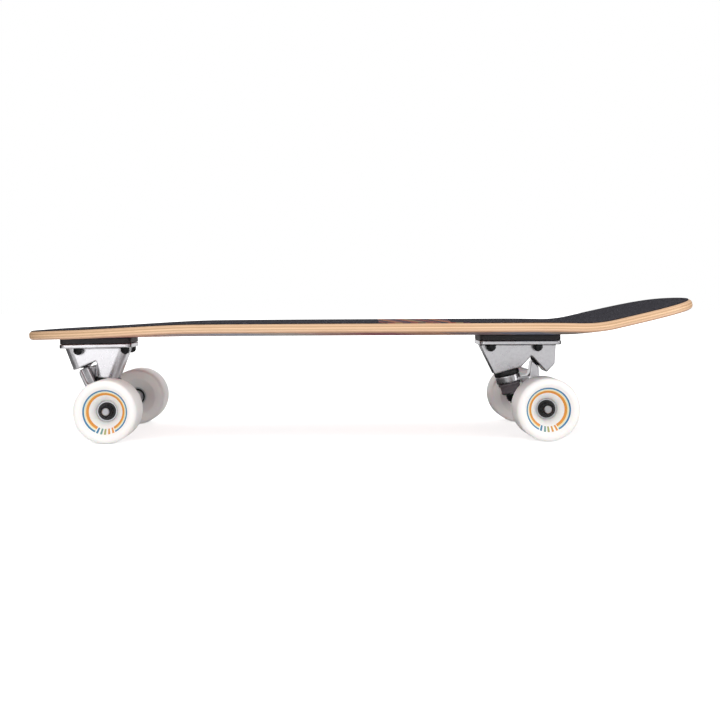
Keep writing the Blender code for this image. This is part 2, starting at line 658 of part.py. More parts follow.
def kingpin_set(truck, frame):
    """The kingpin with its bushings, cup washer and nut, along one axis."""
    face, down = kingpin_axis(truck)
    head_low = kingpin_head_low(truck)

    def on_axis(name, mesh, finish):
        return place(part(f"{truck.name}_{name}", mesh, finish), frame, face, -down)

    pin = on_axis("kingpin", cylinder("kingpin", KINGPIN_RADIUS, -KINGPIN_LENGTH_BELOW,
                                      head_low + KINGPIN_HEAD_HEIGHT / 2, SMALL_STEPS), "steel")
    head = extruded("kingpin head", [polygon(KINGPIN_FLATS)], head_low,
                    head_low + KINGPIN_HEAD_HEIGHT)
    fuse(pin, place(guide(f"{truck.name} kingpin head", mesh_from(head, "head")), frame, face, -down))

    bore, seat = KINGPIN_RADIUS + SEAT_GAP, BUSHING_PLUG_DEPTH - SEAT_GAP
    turned = {
        "board_bushing": ("bushing", [
            (bore, seat), (BUSHING_PLUG_RADIUS, seat), (BUSHING_PLUG_RADIUS, -SEAT_GAP),
            (BUSHING_RADIUS, -SEAT_GAP), (BUSHING_RADIUS, -RING_START + SEAT_GAP),
            (bore, -RING_START + SEAT_GAP)]),
        "road_bushing": ("bushing", [
            (bore, -RING_END - SEAT_GAP), (ROAD_BUSHING_RADIUS, -RING_END - SEAT_GAP),
            (ROAD_BUSHING_FOOT, -WASHER_START + SEAT_GAP), (bore, -WASHER_START + SEAT_GAP)]),
        "cup_washer": ("steel", [
            (bore, -WASHER_START), (CUP_WASHER_RADIUS, -WASHER_START),
            (CUP_WASHER_RADIUS, -KINGPIN_NUT_START + SEAT_GAP),
            (bore, -KINGPIN_NUT_START + SEAT_GAP)])}
    for name, (finish, outline) in turned.items():
        turn(on_axis(name, profile(name, outline, closed=True), finish), ROUND_STEPS)
    nut = extruded("kingpin nut", [polygon(KINGPIN_FLATS), circle(bore, SMALL_STEPS)],
                   -KINGPIN_NUT_START - KINGPIN_NUT_HEIGHT, -KINGPIN_NUT_START)
    on_axis("kingpin_nut", mesh_from(nut, "kingpin nut"), "black_steel")


def face_block(truck, parent, origin, gap, outside):
    """A block on one side of the plane that lies a gap off the pivot face."""
    seat, out = pivot_face(truck)
    size = 2 * TRUCK_HEIGHT
    tool = block("face block", (size, size, size), (0, 0, gap + (size / 2 if outside else -size / 2)))
    side = "outer" if outside else "inner"
    return place(guide(f"{truck.name} {side} face block", tool), parent, seat - origin, out)


def pivot_cup(truck, frame):
    """The soft cup in the base that the hanger's pivot nose turns in."""
    centre, up = steering_axis(truck)
    inner, outer = PIVOT_TIP_RADIUS + PIVOT_PLAY, PIVOT_TIP_RADIUS + PIVOT_CUP_WALL
    spread = (PIVOT_ROOT_RADIUS - PIVOT_TIP_RADIUS) / PIVOT_NOSE_LENGTH
    dome = arc((0, 0), inner, 0, 90, 3)[:-1]
    points = [(0, outer), (outer, outer), (outer, -PIVOT_NOSE_LENGTH),
              (inner + spread * PIVOT_NOSE_LENGTH, -PIVOT_NOSE_LENGTH)] + dome + [(0, inner)]
    cup = turn(part(f"{truck.name}_pivot_cup", profile("cup", points), "bushing"), SMALL_STEPS)
    place(cup, frame, centre, up)
    cut(cup, face_block(truck, frame, Vector(), PIVOT_CUP_PROUD, outside=True))


def steering_joint(truck, frame):
    """An empty on the steering axis, at the pivot, that carries what steers."""
    joint = bpy.data.objects.new(f"{truck.name}_steering_joint", None)
    PARTS.objects.link(joint)
    place(joint, frame, steering_axis(truck)[0])
    bpy.context.view_layer.update()
    return joint


def axle_point(truck, frame):
    """The axle's middle in the truck's frame, at the height that stands the wheels on the ground."""
    world = frame.matrix_world
    start = (world @ mm(truck.axle_offset, 0, 0)).z * 1000
    return Vector((truck.axle_offset, 0, (WHEEL_RADIUS - start) / world.col[2].z))


def truck_hanger(truck, joint, axle):
    """The cast hanger: axle tube, kingpin ring, pivot arm and nose."""
    pivot, up = steering_axis(truck)
    face, down = kingpin_axis(truck)
    ring_place, axle_place = face - pivot, axle - pivot
    half, straight = HANGER_WIDTH / 2, AXLE_TUBE_STRAIGHT / 2
    ends = [(0, half + SHOULDER_LENGTH), (SHOULDER_RADIUS, half + SHOULDER_LENGTH),
            (SHOULDER_RADIUS, half), (AXLE_TUBE_END_RADIUS, half), (AXLE_TUBE_RADIUS, straight)]
    tube = ends + [(radius, -height) for radius, height in reversed(ends)]
    hanger = turn(part(f"{truck.name}_hanger", profile("tube", tube), "cast"), ROUND_STEPS)
    place(hanger, joint, axle_place, (0, 1, 0))
    ring = cylinder("ring", RING_RADIUS, -RING_END, -RING_START)
    top, top_radius, foot, foot_radius = truck.column
    column = limb(f"{truck.name} column", top, foot, top_radius, foot_radius, COLUMN_HALF_WIDTH,
                  foot_width=COLUMN_FOOT_HALF_WIDTH)
    limbs = [place(guide(f"{truck.name} ring", ring), joint, ring_place, -down),
             place(column, joint, -pivot)]
    for number, arm in enumerate(truck.arms):
        limbs.append(place(limb(f"{truck.name} arm {number}", *arm), joint, -pivot))
    fuse(hanger, *limbs)
    cut(hanger, face_block(truck, joint, pivot, PIVOT_HEAD_GAP, outside=False))
    dome = arc((0, 0), PIVOT_TIP_RADIUS, 90, 0, 3)
    nose = guide(f"{truck.name} pivot nose", profile("nose", [(0, PIVOT_TIP_RADIUS)] + dome[1:] + [
        (PIVOT_ROOT_RADIUS, -PIVOT_NOSE_LENGTH), (0, -PIVOT_NOSE_LENGTH)]))
    fuse(hanger, place(turn(nose, SMALL_STEPS), joint, up=up))
    room = BUSHING_RADIUS + BUSHING_ROOM
    bores = [cylinder("ring bore", RING_BORE_RADIUS, -RING_END - PAST, -RING_START + PAST, SMALL_STEPS),
             cylinder("board bushing room", room, -RING_START + RING_PROUD, PAST),
             cylinder("road bushing room", room, -KINGPIN_LENGTH_BELOW - PAST,
                      -RING_END - RING_PROUD)]
    for bore in bores:
        cut(hanger, place(guide(f"{truck.name} {bore.name}", bore), joint, ring_place, -down))
    bore = cylinder("axle bore", AXLE_RADIUS + SEAT_GAP, -half - PAST, half + PAST, SMALL_STEPS)
    cut(hanger, place(guide(f"{truck.name} axle bore", bore), joint, axle_place, (0, 1, 0)))


# Wheels
def wheel_points():
    """The wheel's section about its axle: (radius, distance outwards from its middle)."""
    half, lip = WHEEL_WIDTH / 2, WHEEL_LIP_RADIUS
    rim = (WHEEL_RADIUS - lip, half - lip)
    seat = BEARING_RADIUS + SEAT_GAP
    core_low, core_high = [end * CORE_LENGTH / 2 - CORE_OFFSET for end in (-1, 1)]
    bore, step = BEARING_RADIUS - CORE_LIP, SPACER_LENGTH / 2 - SEAT_GAP
    step_low, step_high = -CORE_OFFSET - step, -CORE_OFFSET + step
    outer_lip = arc(rim, lip, 90, 0, 3)
    inner_lip = [(radius, -height) for radius, height in reversed(outer_lip)]
    face = [(WHEEL_MOUTH_RADIUS, half - WHEEL_MOUTH_DEPTH),
            (WHEEL_FACE_RADIUS, half - WHEEL_FACE_DEPTH)]
    return (face + outer_lip + inner_lip + [
        (WHEEL_BACK_MOUTH_RADIUS, -half), (seat + CORE_CHAMFER, core_low), (seat, core_low),
        (seat, step_low), (bore, step_low), (bore, step_high), (seat, step_high),
        (seat, core_high)])


def wheel_set(truck, joint, axle):
    """A truck's axle, and at each end a wheel with its bearings, spacer and nut."""
    middle = axle - steering_axis(truck)[0]
    rod = cylinder("axle", AXLE_RADIUS, -AXLE_HALF, AXLE_HALF, SMALL_STEPS)
    place(part(f"{truck.name}_axle", rod, "steel"), joint, middle, (0, 1, 0))
    for side, sign in SIDES.items():
        outwards = (0, sign * truck.outward, 0)
        corner = f"{truck.name}_{side}"

        def on_axle(name, mesh, finish, distance):
            obj = part(f"{corner}_{name}", mesh, finish)
            return place(obj, joint, middle + Vector(outwards) * distance, outwards)

        def ring(name, finish, radius, bore, length, distance, steps):
            outline = [(radius, length / 2), (radius, -length / 2), (bore, -length / 2),
                       (bore, length / 2)]
            turn(on_axle(name, profile(name, outline, closed=True), finish, distance), steps)

        bore = AXLE_RADIUS + SEAT_GAP
        offset = (SPACER_LENGTH + BEARING_WIDTH) / 2
        turn(on_axle("wheel", profile("wheel", wheel_points(), closed=True), "urethane",
                     WHEEL_CENTRE), WHEEL_STEPS)
        ring("inner_bearing", "shield", BEARING_RADIUS, bore, BEARING_WIDTH, CORE_MIDDLE - offset,
             ROUND_STEPS)
        ring("outer_bearing", "shield", BEARING_RADIUS, bore, BEARING_WIDTH, CORE_MIDDLE + offset,
             ROUND_STEPS)
        ring("bearing_spacer", "steel", bore + SPACER_WALL, bore, SPACER_LENGTH - 2 * SEAT_GAP,
             CORE_MIDDLE, SMALL_STEPS)
        nut = mesh_from(extruded("axle nut", [polygon(AXLE_NUT_FLATS), circle(bore, SMALL_STEPS)],
                                 SPEED_WASHER_THICKNESS / 2, AXLE_NUT_HEIGHT
                                 + SPEED_WASHER_THICKNESS), "axle nut")
        washer = mesh_from(extruded("washer", [circle(SPEED_WASHER_RADIUS, ROUND_STEPS),
                                               circle(bore, SMALL_STEPS)], SEAT_GAP,
                                    SPEED_WASHER_THICKNESS), "washer")
        nut = on_axle("axle_nut", nut, "black_steel", AXLE_NUT_START)
        fuse(nut, place(guide(f"{corner} washer", washer), joint,
                        middle + Vector(outwards) * AXLE_NUT_START, outwards))


def main():
    deck = board_layer("deck", "maple", 0.0, -HALF_THICKNESS, HALF_THICKNESS, DECK_EDGE_RADIUS)
    grip_low = HALF_THICKNESS + SEAT_GAP
    grip = board_layer("grip_tape", "grit", GRIP_MARGIN, grip_low, grip_low + GRIP_THICKNESS, 0.0)
    for truck in TRUCKS:
        frame = truck_frame(truck)
        riser = mesh_from(extruded("riser", plate_outlines(truck, RISER_MARGIN), RISER_BOTTOM,
                                   RISER_TOP), "riser")
        place(part(f"{truck.name}_riser_pad", riser, "pad"), frame)
        deck_bolts(truck, frame, (deck, grip))
        truck_base(truck, frame)
        kingpin_set(truck, frame)
        pivot_cup(truck, frame)
        joint = steering_joint(truck, frame)
        axle = axle_point(truck, frame)
        truck_hanger(truck, joint, axle)
        wheel_set(truck, joint, axle)
        world = frame.matrix_world
        pivot, up = steering_axis(truck)
        print(truck.name, "pivot", [round(v, 5) for v in world @ mm(*pivot)],
              "axis", [round(v, 4) for v in world.to_3x3() @ up],
              "axle", [round(v, 5) for v in world @ mm(*axle)])


main()
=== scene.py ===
# %% [markdown]
# # A surfskate, dressed on its working frame
# The frame holds every solid of the board at its real size, with its joints. This lesson
# gives each one its finish: castings and mouldings are copied under a new skin, and the rest is
# modelled again, finer, in the same place. Lengths are millimetres up to the studio's.

# %% Load the frame
import json
from functools import partial
from math import atan2, cos, pi, radians, sin, sqrt, tan

import bmesh
import bpy
import numpy as np
from mathutils import Matrix, Vector


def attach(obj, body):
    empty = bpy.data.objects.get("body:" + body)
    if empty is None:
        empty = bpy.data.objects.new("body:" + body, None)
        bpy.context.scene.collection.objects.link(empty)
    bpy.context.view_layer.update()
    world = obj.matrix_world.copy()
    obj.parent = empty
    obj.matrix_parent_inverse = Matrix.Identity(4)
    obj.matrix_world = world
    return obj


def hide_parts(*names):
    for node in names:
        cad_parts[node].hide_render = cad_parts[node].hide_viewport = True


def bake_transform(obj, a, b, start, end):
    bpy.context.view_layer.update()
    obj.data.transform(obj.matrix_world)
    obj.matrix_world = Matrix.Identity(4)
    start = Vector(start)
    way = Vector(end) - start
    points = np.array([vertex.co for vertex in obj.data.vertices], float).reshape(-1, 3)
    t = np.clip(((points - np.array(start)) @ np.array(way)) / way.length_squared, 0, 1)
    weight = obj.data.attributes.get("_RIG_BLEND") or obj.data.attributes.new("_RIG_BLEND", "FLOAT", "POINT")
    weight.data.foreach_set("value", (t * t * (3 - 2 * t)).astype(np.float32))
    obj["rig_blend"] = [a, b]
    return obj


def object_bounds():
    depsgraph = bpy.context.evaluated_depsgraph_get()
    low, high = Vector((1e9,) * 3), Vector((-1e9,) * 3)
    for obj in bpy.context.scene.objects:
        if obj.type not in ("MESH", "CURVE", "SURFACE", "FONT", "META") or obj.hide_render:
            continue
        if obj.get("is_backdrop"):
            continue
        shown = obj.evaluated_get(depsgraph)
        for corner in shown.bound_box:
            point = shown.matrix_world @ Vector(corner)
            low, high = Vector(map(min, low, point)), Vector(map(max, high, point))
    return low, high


MM = 0.001
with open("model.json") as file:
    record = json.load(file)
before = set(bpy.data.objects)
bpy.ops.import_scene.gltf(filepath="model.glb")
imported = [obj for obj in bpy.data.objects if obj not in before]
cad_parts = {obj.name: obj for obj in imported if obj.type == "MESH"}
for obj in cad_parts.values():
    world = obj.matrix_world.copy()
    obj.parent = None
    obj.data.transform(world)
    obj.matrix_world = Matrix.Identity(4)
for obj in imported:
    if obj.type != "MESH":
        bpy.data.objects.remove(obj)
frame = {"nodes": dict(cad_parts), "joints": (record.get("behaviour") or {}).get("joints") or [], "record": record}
nodes = frame["nodes"]
joints = {joint["name"]: joint for joint in frame["joints"]}
cad_box = [list(corner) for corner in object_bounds()]
ENDS = {"front": -1, "rear": 1}
SIDES = ("left", "right")

# %% [markdown]
# ## Colours and shader nodes
# A colour picked from a chart is an sRGB hex value, but a shader works in linear light, so one
# function turns the one into the other. Another adds a node with its settings and its links,
# which keeps each material below as short as a recipe. A Mix node's sockets are told apart by
# their place in its list, so the coloured ones get names.

# %% Helpers for materials
MIX_A, MIX_B, MIXED = 6, 7, 2


def linear(hex_colour, alpha=1.0):
    """An sRGB hex colour as linear RGBA."""
    shares = [int(hex_colour[i:i + 2], 16) / 255 for i in (0, 2, 4)]
    return [s / 12.92 if s <= 0.04045 else ((s + 0.055) / 1.055) ** 2.4 for s in shares] + [alpha]


def plug(owner, node, inputs):
    """Set a node's inputs to values, or link outputs to them; a node stands for its first one."""
    for socket, value in inputs.items():
        if isinstance(value, bpy.types.Node):
            value = value.outputs[0]
        if isinstance(value, bpy.types.NodeSocket):
            owner.node_tree.links.new(value, node.inputs[socket])
        else:
            node.inputs[socket].default_value = value


def add(owner, kind, inputs=None, stops=(), fade=False, **settings):
    """Add a node with its settings and inputs. A colour ramp also gets its stops, each a place
    from 0 to 1, a hex colour and an opacity, which fade into each other or change at once."""
    node = owner.node_tree.nodes.new("ShaderNode" + kind)
    for name, value in settings.items():
        setattr(node, name, value)
    if stops:
        ramp = node.color_ramp
        ramp.interpolation = "LINEAR" if fade else "CONSTANT"
        while len(ramp.elements) < len(stops):
            ramp.elements.new(0.5)
        for element, (place, colour, alpha) in zip(ramp.elements, stops):
            element.position = place
            element.color = linear(colour, alpha)
    plug(owner, node, inputs or {})
    return node


def surface_of(name, colour, roughness, metallic=0.0, inputs=None):
    """A material with a Principled shader, that shader, and add() bound to the material."""
    material = bpy.data.materials.new(name)
    material.use_nodes = True
    material.diffuse_color = linear(colour)
    shader = material.node_tree.nodes["Principled BSDF"]
    plug(material, shader, {"Base Color": linear(colour), "Roughness": roughness,
                            "Metallic": metallic, **(inputs or {})})
    return material, shader, partial(add, material)


print("middle grey is", round(linear("808080")[0], 3), "in linear light")

# %% [markdown]
# ## Maple plies
# The deck is seven sheets of maple, glued and pressed over a mould. Its sanded edge shows them
# as thin stripes: sheets whose grain runs along the board look pale, and the two crossed ones
# darker, with a hair of glue between. A picture could hold the stripes, but they have to follow
# the kick of the tail, so each point of the mesh will carry its height within the plies, and the
# material looks its sheet up from that. The underside is heat-printed with broad chevrons.

# %% Maple, seen on its edge and printed below
BOARD_LENGTH, DECK_THICKNESS = 755.0, 9.8
HALF_LENGTH, HALF_THICKNESS = BOARD_LENGTH / 2, DECK_THICKNESS / 2
PLIES_FROM_BELOW = ("cfa78a", "edc8a8", "d8b48f", "f2cda8", "d0aa84", "e2bd99", "d2ad89")
GLUE_LINE, GLUE_COLOUR = 0.09, "a9835f"
FIBRE, FIBRE_STRENGTH = Vector((60.0, 2.0, 0.45)), 0.42
FIBRE_SHADES = ((0.25, "b9a08a", 1), (0.5, "f4ece4", 1), (0.75, "ffffff", 1))
PRINT_WRAP = 0.04
CHEVRON_WIDTH, CHEVRON_SLOPE, CHEVRON_SHIFT = 52.0, 0.55, 60.5
CHEVRON_COLOURS = ("b98f86", "a8626a", "c08a70", "8a7478", "75788a", "93857c")


def maple():
    material, shader, new = surface_of("seven-ply maple, pressed and sanded", "e0bb95", 0.5)
    ply = new("Attribute", attribute_name="ply").outputs["Fac"]
    rise = new("MapRange", {"Value": ply, "From Min": -HALF_THICKNESS, "From Max": HALF_THICKNESS})
    stops = []
    for number, colour in enumerate(PLIES_FROM_BELOW):
        low = number / len(PLIES_FROM_BELOW)
        stops += [(low, GLUE_COLOUR, 1), (low + GLUE_LINE / DECK_THICKNESS, colour, 1)]
    sheets = new("ValToRGB", {"Fac": rise}, stops[1:])
    place = new("TexCoord").outputs["Object"]
    along = new("Mapping", {"Vector": place, "Scale": [1000 / size for size in FIBRE]})
    fibre = new("TexNoise", {"Vector": along, "Scale": 1.0, "Detail": 4.0, "Roughness": 0.6})
    shade = new("ValToRGB", {"Fac": fibre}, FIBRE_SHADES, fade=True)
    wood = new("Mix", {0: FIBRE_STRENGTH, MIX_A: sheets, MIX_B: shade},
               data_type="RGBA", blend_type="MULTIPLY").outputs[MIXED]
    parts = new("SeparateXYZ", {0: place}).outputs
    aside = new("Math", {0: parts["Y"]}, operation="ABSOLUTE")
    lean = new("Math", {0: aside, 1: CHEVRON_SLOPE, 2: parts["X"]}, operation="MULTIPLY_ADD")
    back = new("Math", {0: lean, 1: CHEVRON_SHIFT * MM}, operation="SUBTRACT")
    share = new("MapRange", {
        "Value": back, "From Min": -HALF_LENGTH * MM, "From Max": HALF_LENGTH * MM})
    chevrons = new("ValToRGB", {"Fac": share}, [
        (number * CHEVRON_WIDTH / BOARD_LENGTH, CHEVRON_COLOURS[number % len(CHEVRON_COLOURS)], 1)
        for number in range(int(BOARD_LENGTH / CHEVRON_WIDTH) + 1)])
    below = new("Math", {0: ply, 1: PRINT_WRAP - HALF_THICKNESS}, operation="LESS_THAN")
    colour = new("Mix", {0: below, MIX_A: wood, MIX_B: chevrons}, data_type="RGBA").outputs[MIXED]
    bump = new("Bump", {"Height": fibre, "Strength": 0.15, "Distance": 0.1 * MM})
    plug(material, shader, {"Base Color": colour, "Normal": bump})
    return material


MAPLE = maple()
print(MAPLE.name, "with", len(PLIES_FROM_BELOW), "sheets")

# %% [markdown]
# ## Grip
# The whole top is covered with grip: silicon carbide grit, glued on a thin sheet. Real grains
# are a fifth of a millimetre, too fine to show from a step away, so they are drawn coarser here,
# a millimetre and a half apart. The grains scatter light in every direction, which makes the
# sheet dark and quite matt. Their shades vary at random, and the palest few are painted glints,
# highlights laid into their colour. A printed band crosses the middle.

# %% Grip
GRIT = 1.5
# Grit shades from near black to grey at random; the palest stop gives painted glints, highlights in the colour.
GRIT_SHADES_AND_PAINTED_GLINT = ((0.34, "0d0c11", 1), (0.5, "201f26", 1), (0.62, "3a3842", 1), (0.78, "8f8c95", 1))
BAND_FROM, BAND_TO, BAND_INK = 29.5, 118.5, 0.8
STRIPE_SLOPE, STRIPE_TURN = 0.45, 64.0
STRIPES = ("8a5048", "46414a", "a06a4e", "7d5658", "4b4650", "9c5a4c", "8d7a5c", "5a3f4c")


def grip():
    material, shader, new = surface_of("silicon carbide grip sheet", "2b292f", 0.95, inputs={
        "Specular IOR Level": 0.12})
    place = new("TexCoord").outputs["Object"]
    grains = new("TexNoise", {
        "Vector": place, "Scale": 1000 / GRIT, "Detail": 2.0, "Roughness": 0.7})
    # Random grain tone, with its palest grains as painted glints.
    grit_and_painted_glint = new("ValToRGB", {"Fac": grains}, GRIT_SHADES_AND_PAINTED_GLINT, fade=True)
    parts = new("SeparateXYZ", {0: place}).outputs
    slant = new("Math", {0: parts["Y"], 1: STRIPE_SLOPE, 2: parts["X"]}, operation="MULTIPLY_ADD")
    turns = new("Math", {0: slant, 1: 1 / (STRIPE_TURN * MM)}, operation="MULTIPLY")
    share = new("Math", {0: turns}, operation="FRACT")
    stripes = new("ValToRGB", {"Fac": share},
                  [(number / len(STRIPES), colour, 1) for number, colour in enumerate(STRIPES)])
    after = new("Math", {0: parts["X"], 1: BAND_FROM * MM}, operation="GREATER_THAN")
    before = new("Math", {0: parts["X"], 1: BAND_TO * MM}, operation="LESS_THAN")
    inside = new("Math", {0: after, 1: before}, operation="MULTIPLY")
    worn = new("Math", {0: inside, 1: BAND_INK}, operation="MULTIPLY")
    colour = new("Mix", {0: worn, MIX_A: grit_and_painted_glint, MIX_B: stripes}, data_type="RGBA").outputs[MIXED]
    bump = new("Bump", {"Height": grains, "Strength": 0.7, "Distance": 0.25 * MM})
    plug(material, shader, {"Base Color": colour, "Normal": bump})
    return material


GRIP = grip()
print(GRIP.name, "with a band", BAND_TO - BAND_FROM, "mm wide")

# %% [markdown]
# ## Metals
# The trucks are aluminium, cast in moulds and tumbled with grit, so their skin is silvery but
# broken up by fine pits: fully metallic with a satin sheen, a faint mottle and a bump. The pits
# are drawn 0.8 mm apart, coarser than real ones, so that they show. Bolts and nuts are steel
# blackened in a hot salt bath, which leaves a dark skin with an oily sheen. The axles are plated
# with zinc, and the bearings' races are ground bright.

# %% Cast aluminium, blackened steel, plated steel
SAND, MOTTLE = 0.8, 5.0
CAST_TINTS = ((0.3, "bfbdc1", 1), (0.5, "c9c8cb", 1), (0.7, "d1d0d3", 1))


def cast_aluminium():
    material, shader, new = surface_of("cast aluminium, tumbled", "c0bfc3", 0.3, 1.0)
    place = new("TexCoord").outputs["Object"]
    sand = new("TexNoise", {
        "Vector": place, "Scale": 1000 / SAND, "Detail": 3.0, "Roughness": 0.6})
    mottle = new("TexNoise", {"Vector": place, "Scale": 1000 / MOTTLE, "Detail": 4.0})
    tint = new("ValToRGB", {"Fac": mottle}, CAST_TINTS, fade=True)
    rough = new("MapRange", {
        "Value": mottle, "From Min": 0.3, "From Max": 0.7, "To Min": 0.26, "To Max": 0.34})
    bump = new("Bump", {"Height": sand, "Strength": 0.25, "Distance": 0.08 * MM})
    plug(material, shader, {"Base Color": tint, "Roughness": rough, "Normal": bump})
    return material


def grained(name, colour, low, high, grain, metallic=0.0, strength=0.2, depth=0.08):
    """A surface with a fine grain, whose sheen varies between two roughnesses."""
    material, shader, new = surface_of(name, colour, (low + high) / 2, metallic)
    place = new("TexCoord").outputs["Object"]
    skin = new("TexNoise", {"Vector": place, "Scale": 1000 / grain, "Detail": 3.0})
    rough = new("MapRange", {
        "Value": skin, "From Min": 0.3, "From Max": 0.7, "To Min": low, "To Max": high})
    bump = new("Bump", {"Height": skin, "Strength": strength, "Distance": depth * MM})
    plug(material, shader, {"Roughness": rough, "Normal": bump})
    return material


def steel(name, colour, low, high, metallic):
    """Turned steel under a thin skin."""
    return grained(name, colour, low, high, 3.0, metallic, strength=0.1, depth=0.05)


CAST = cast_aluminium()
BLACK_STEEL = steel("blackened steel", "232325", 0.3, 0.45, 0.7)
PLATED = steel("zinc-plated steel", "b0b1b4", 0.35, 0.5, 1.0)
RACE_STEEL = steel("bearing steel", "c6c7ca", 0.3, 0.45, 1.0)
print("metals:", ", ".join(metal.name for metal in (CAST, BLACK_STEEL, PLATED, RACE_STEEL)))

# %% [markdown]
# ## Plastics and rubbers
# Wheels are cast urethane: white, faintly warm and a little translucent, so a touch of
# scattering under the skin keeps their shadows soft. Two printed rings, blue around orange, lie
# on the face of each, open at the bottom for five short bars. Bushings, pivot cups and bearing
# seals are urethane and rubber, and the risers are moulded ABS, all with a fine grain, drawn as
# coarse as it needs to show. The rings are measured from each wheel's own axle, so a Mapping
# node first moves the pattern's centre there.

# %% Urethane with printed rings, rubber and ABS
WHITE_URETHANE = "f6f3f1"
FACE_RADIUS, FACE_BEYOND = 40.0, 8.0
RINGS = ((0.0, "ffffff", 0), (17.8, "e3953a", 1), (20.3, "f3e2b0", 1), (21.4, "dbe6e2", 1),
         (22.1, "3a7ca8", 1), (23.7, "ffffff", 0))
BARS = ("3f7fa4", "6f9a92", "a9a865", "d99a48", "e3953a")
BAR_FROM, BAR_TO = 18.0, 23.7
BAR_START, BAR_STOP = 0.2, 0.75
GAP_HALF_ANGLE = 27.0


def urethane(name, axle, outward):
    """White urethane, printed on the side of the wheel that faces outwards along Y."""
    material, shader, new = surface_of(name, WHITE_URETHANE, 0.42, inputs={
        "Subsurface Weight": 0.2, "Subsurface Scale": 5 * MM})
    place = new("TexCoord").outputs["Object"]
    hub = new("Mapping", {"Vector": place, "Location": -axle})
    x, y, z = new("SeparateXYZ", {0: hub}).outputs
    flat = new("CombineXYZ", {"X": x, "Z": z})
    radius = new("VectorMath", {0: flat}, operation="LENGTH").outputs["Value"]
    reach = new("Math", {0: radius, 1: 1 / (FACE_RADIUS * MM)}, operation="MULTIPLY")
    rings = new("ValToRGB", {"Fac": reach},
                [(r / FACE_RADIUS, colour, alpha) for r, colour, alpha in RINGS])
    down = new("Math", {0: z, 1: -1.0}, operation="MULTIPLY")
    angle = new("Math", {0: x, 1: down}, operation="ARCTAN2")
    turn = new("MapRange", {"Value": angle, "From Min": -pi, "From Max": pi})
    edge, step = GAP_HALF_ANGLE / 360, 2 * GAP_HALF_ANGLE / 360 / len(BARS)
    stops = [(0.0, "ffffff", 0)]
    for number, colour in enumerate(BARS):
        stops += [(0.5 - edge + step * (number + BAR_START), colour, 1),
                  (0.5 - edge + step * (number + BAR_STOP), "ffffff", 0)]
    bars = new("ValToRGB", {"Fac": turn}, stops)
    open_ring = new("ValToRGB", {"Fac": turn}, [
        (0.0, "ffffff", 1), (0.5 - edge, "000000", 1), (0.5 + edge, "ffffff", 1)])
    belt = new("ValToRGB", {"Fac": reach}, [
        (0.0, "000000", 1), (BAR_FROM / FACE_RADIUS, "ffffff", 1),
        (BAR_TO / FACE_RADIUS, "000000", 1)])
    out = new("Math", {0: y, 1: outward}, operation="MULTIPLY")
    face = new("Math", {0: out, 1: FACE_BEYOND * MM}, operation="GREATER_THAN")
    colour = linear(WHITE_URETHANE)
    for ink, limits in ((rings, open_ring), (bars, belt)):
        share = new("Math", {0: ink.outputs["Alpha"], 1: limits}, operation="MULTIPLY")
        share = new("Math", {0: share, 1: face}, operation="MULTIPLY")
        colour = new("Mix", {0: share, MIX_A: colour, MIX_B: ink}, data_type="RGBA").outputs[MIXED]
    plug(material, shader, {"Base Color": colour})
    return material


URETHANE_GREY = grained("grey bushing urethane", "5d565b", 0.4, 0.55, 2.0)
URETHANE_BLACK = grained("black bushing urethane", "161618", 0.4, 0.55, 2.0)
ABS_BLACK = grained("black ABS riser", "262428", 0.5, 0.65, 0.8)
SEAL = grained("nitrile bearing seal", "1c1c1e", 0.45, 0.6, 0.6)
print("materials, the frame's own among them:", len(bpy.data.materials))

# %% [markdown]
# ## Making a piece
# Each new piece is a bmesh, drawn in millimetres about the world's origin. When its shape is
# done, one function turns it to metres, smooths it across its shallow edges and lets it ride on
# a body of the frame, in place of the CAD node that it stands for. Faces that meet at less than
# its angle are shaded as one surface: turned steel keeps even low steps crisp.

# %% From a bmesh to a piece of the board
BODY_OF = {node: body for body, members in frame["record"]["behaviour"]["bodies"].items()
           for node in members}
SMOOTH_BELOW, CRISP_BELOW = 40, 28


def mesh_of(bm, name):
    """Turn a bmesh into a mesh, and free it."""
    mesh = bpy.data.meshes.new(name)
    bm.to_mesh(mesh)
    bm.free()
    return mesh


def put(name, data):
    """Put a new object in the scene."""
    thing = bpy.data.objects.new(name, data)
    bpy.context.scene.collection.objects.link(thing)
    return thing


def settle(bm, name, node, *materials, pick=None, stands_in=True, rides=True, smooth=SMOOTH_BELOW):
    """Finish a bmesh as a piece that rides where a CAD node rides, and stands in for it."""
    bmesh.ops.scale(bm, vec=(MM, MM, MM), verts=bm.verts)
    for face in bm.faces if pick else ():
        face.material_index = pick(face)
    mesh = mesh_of(bm, name)
    mesh.shade_smooth()
    mesh.set_sharp_from_angle(angle=radians(smooth))
    for material in materials:
        mesh.materials.append(material)
    piece = put(name, mesh)
    if rides:
        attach(piece, BODY_OF[node])
    if stands_in:
        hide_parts(node)
    return piece


def soften(bm, width, angle=30, segments=2):
    """Round every edge that is sharper than an angle."""
    sharp = [e for e in bm.edges if e.is_manifold and e.calc_face_angle(0) > radians(angle)]
    bmesh.ops.bevel(bm, geom=sharp, offset=width, segments=segments, profile=0.5,
                    affect="EDGES", material=-1, clamp_overlap=True)


# %% [markdown]
# ## The board
# A press gives the deck all its curves at once: flat under the feet, with raised sides, a long
# nose that dips a little and a tail bent up by almost fifteen degrees. Sculpting it would leave
# waves, so it is drawn flat from its outline and then every point is lifted by a formula, as the
# press does. The outline is two halves of a superellipse, a blunt one for the tail.

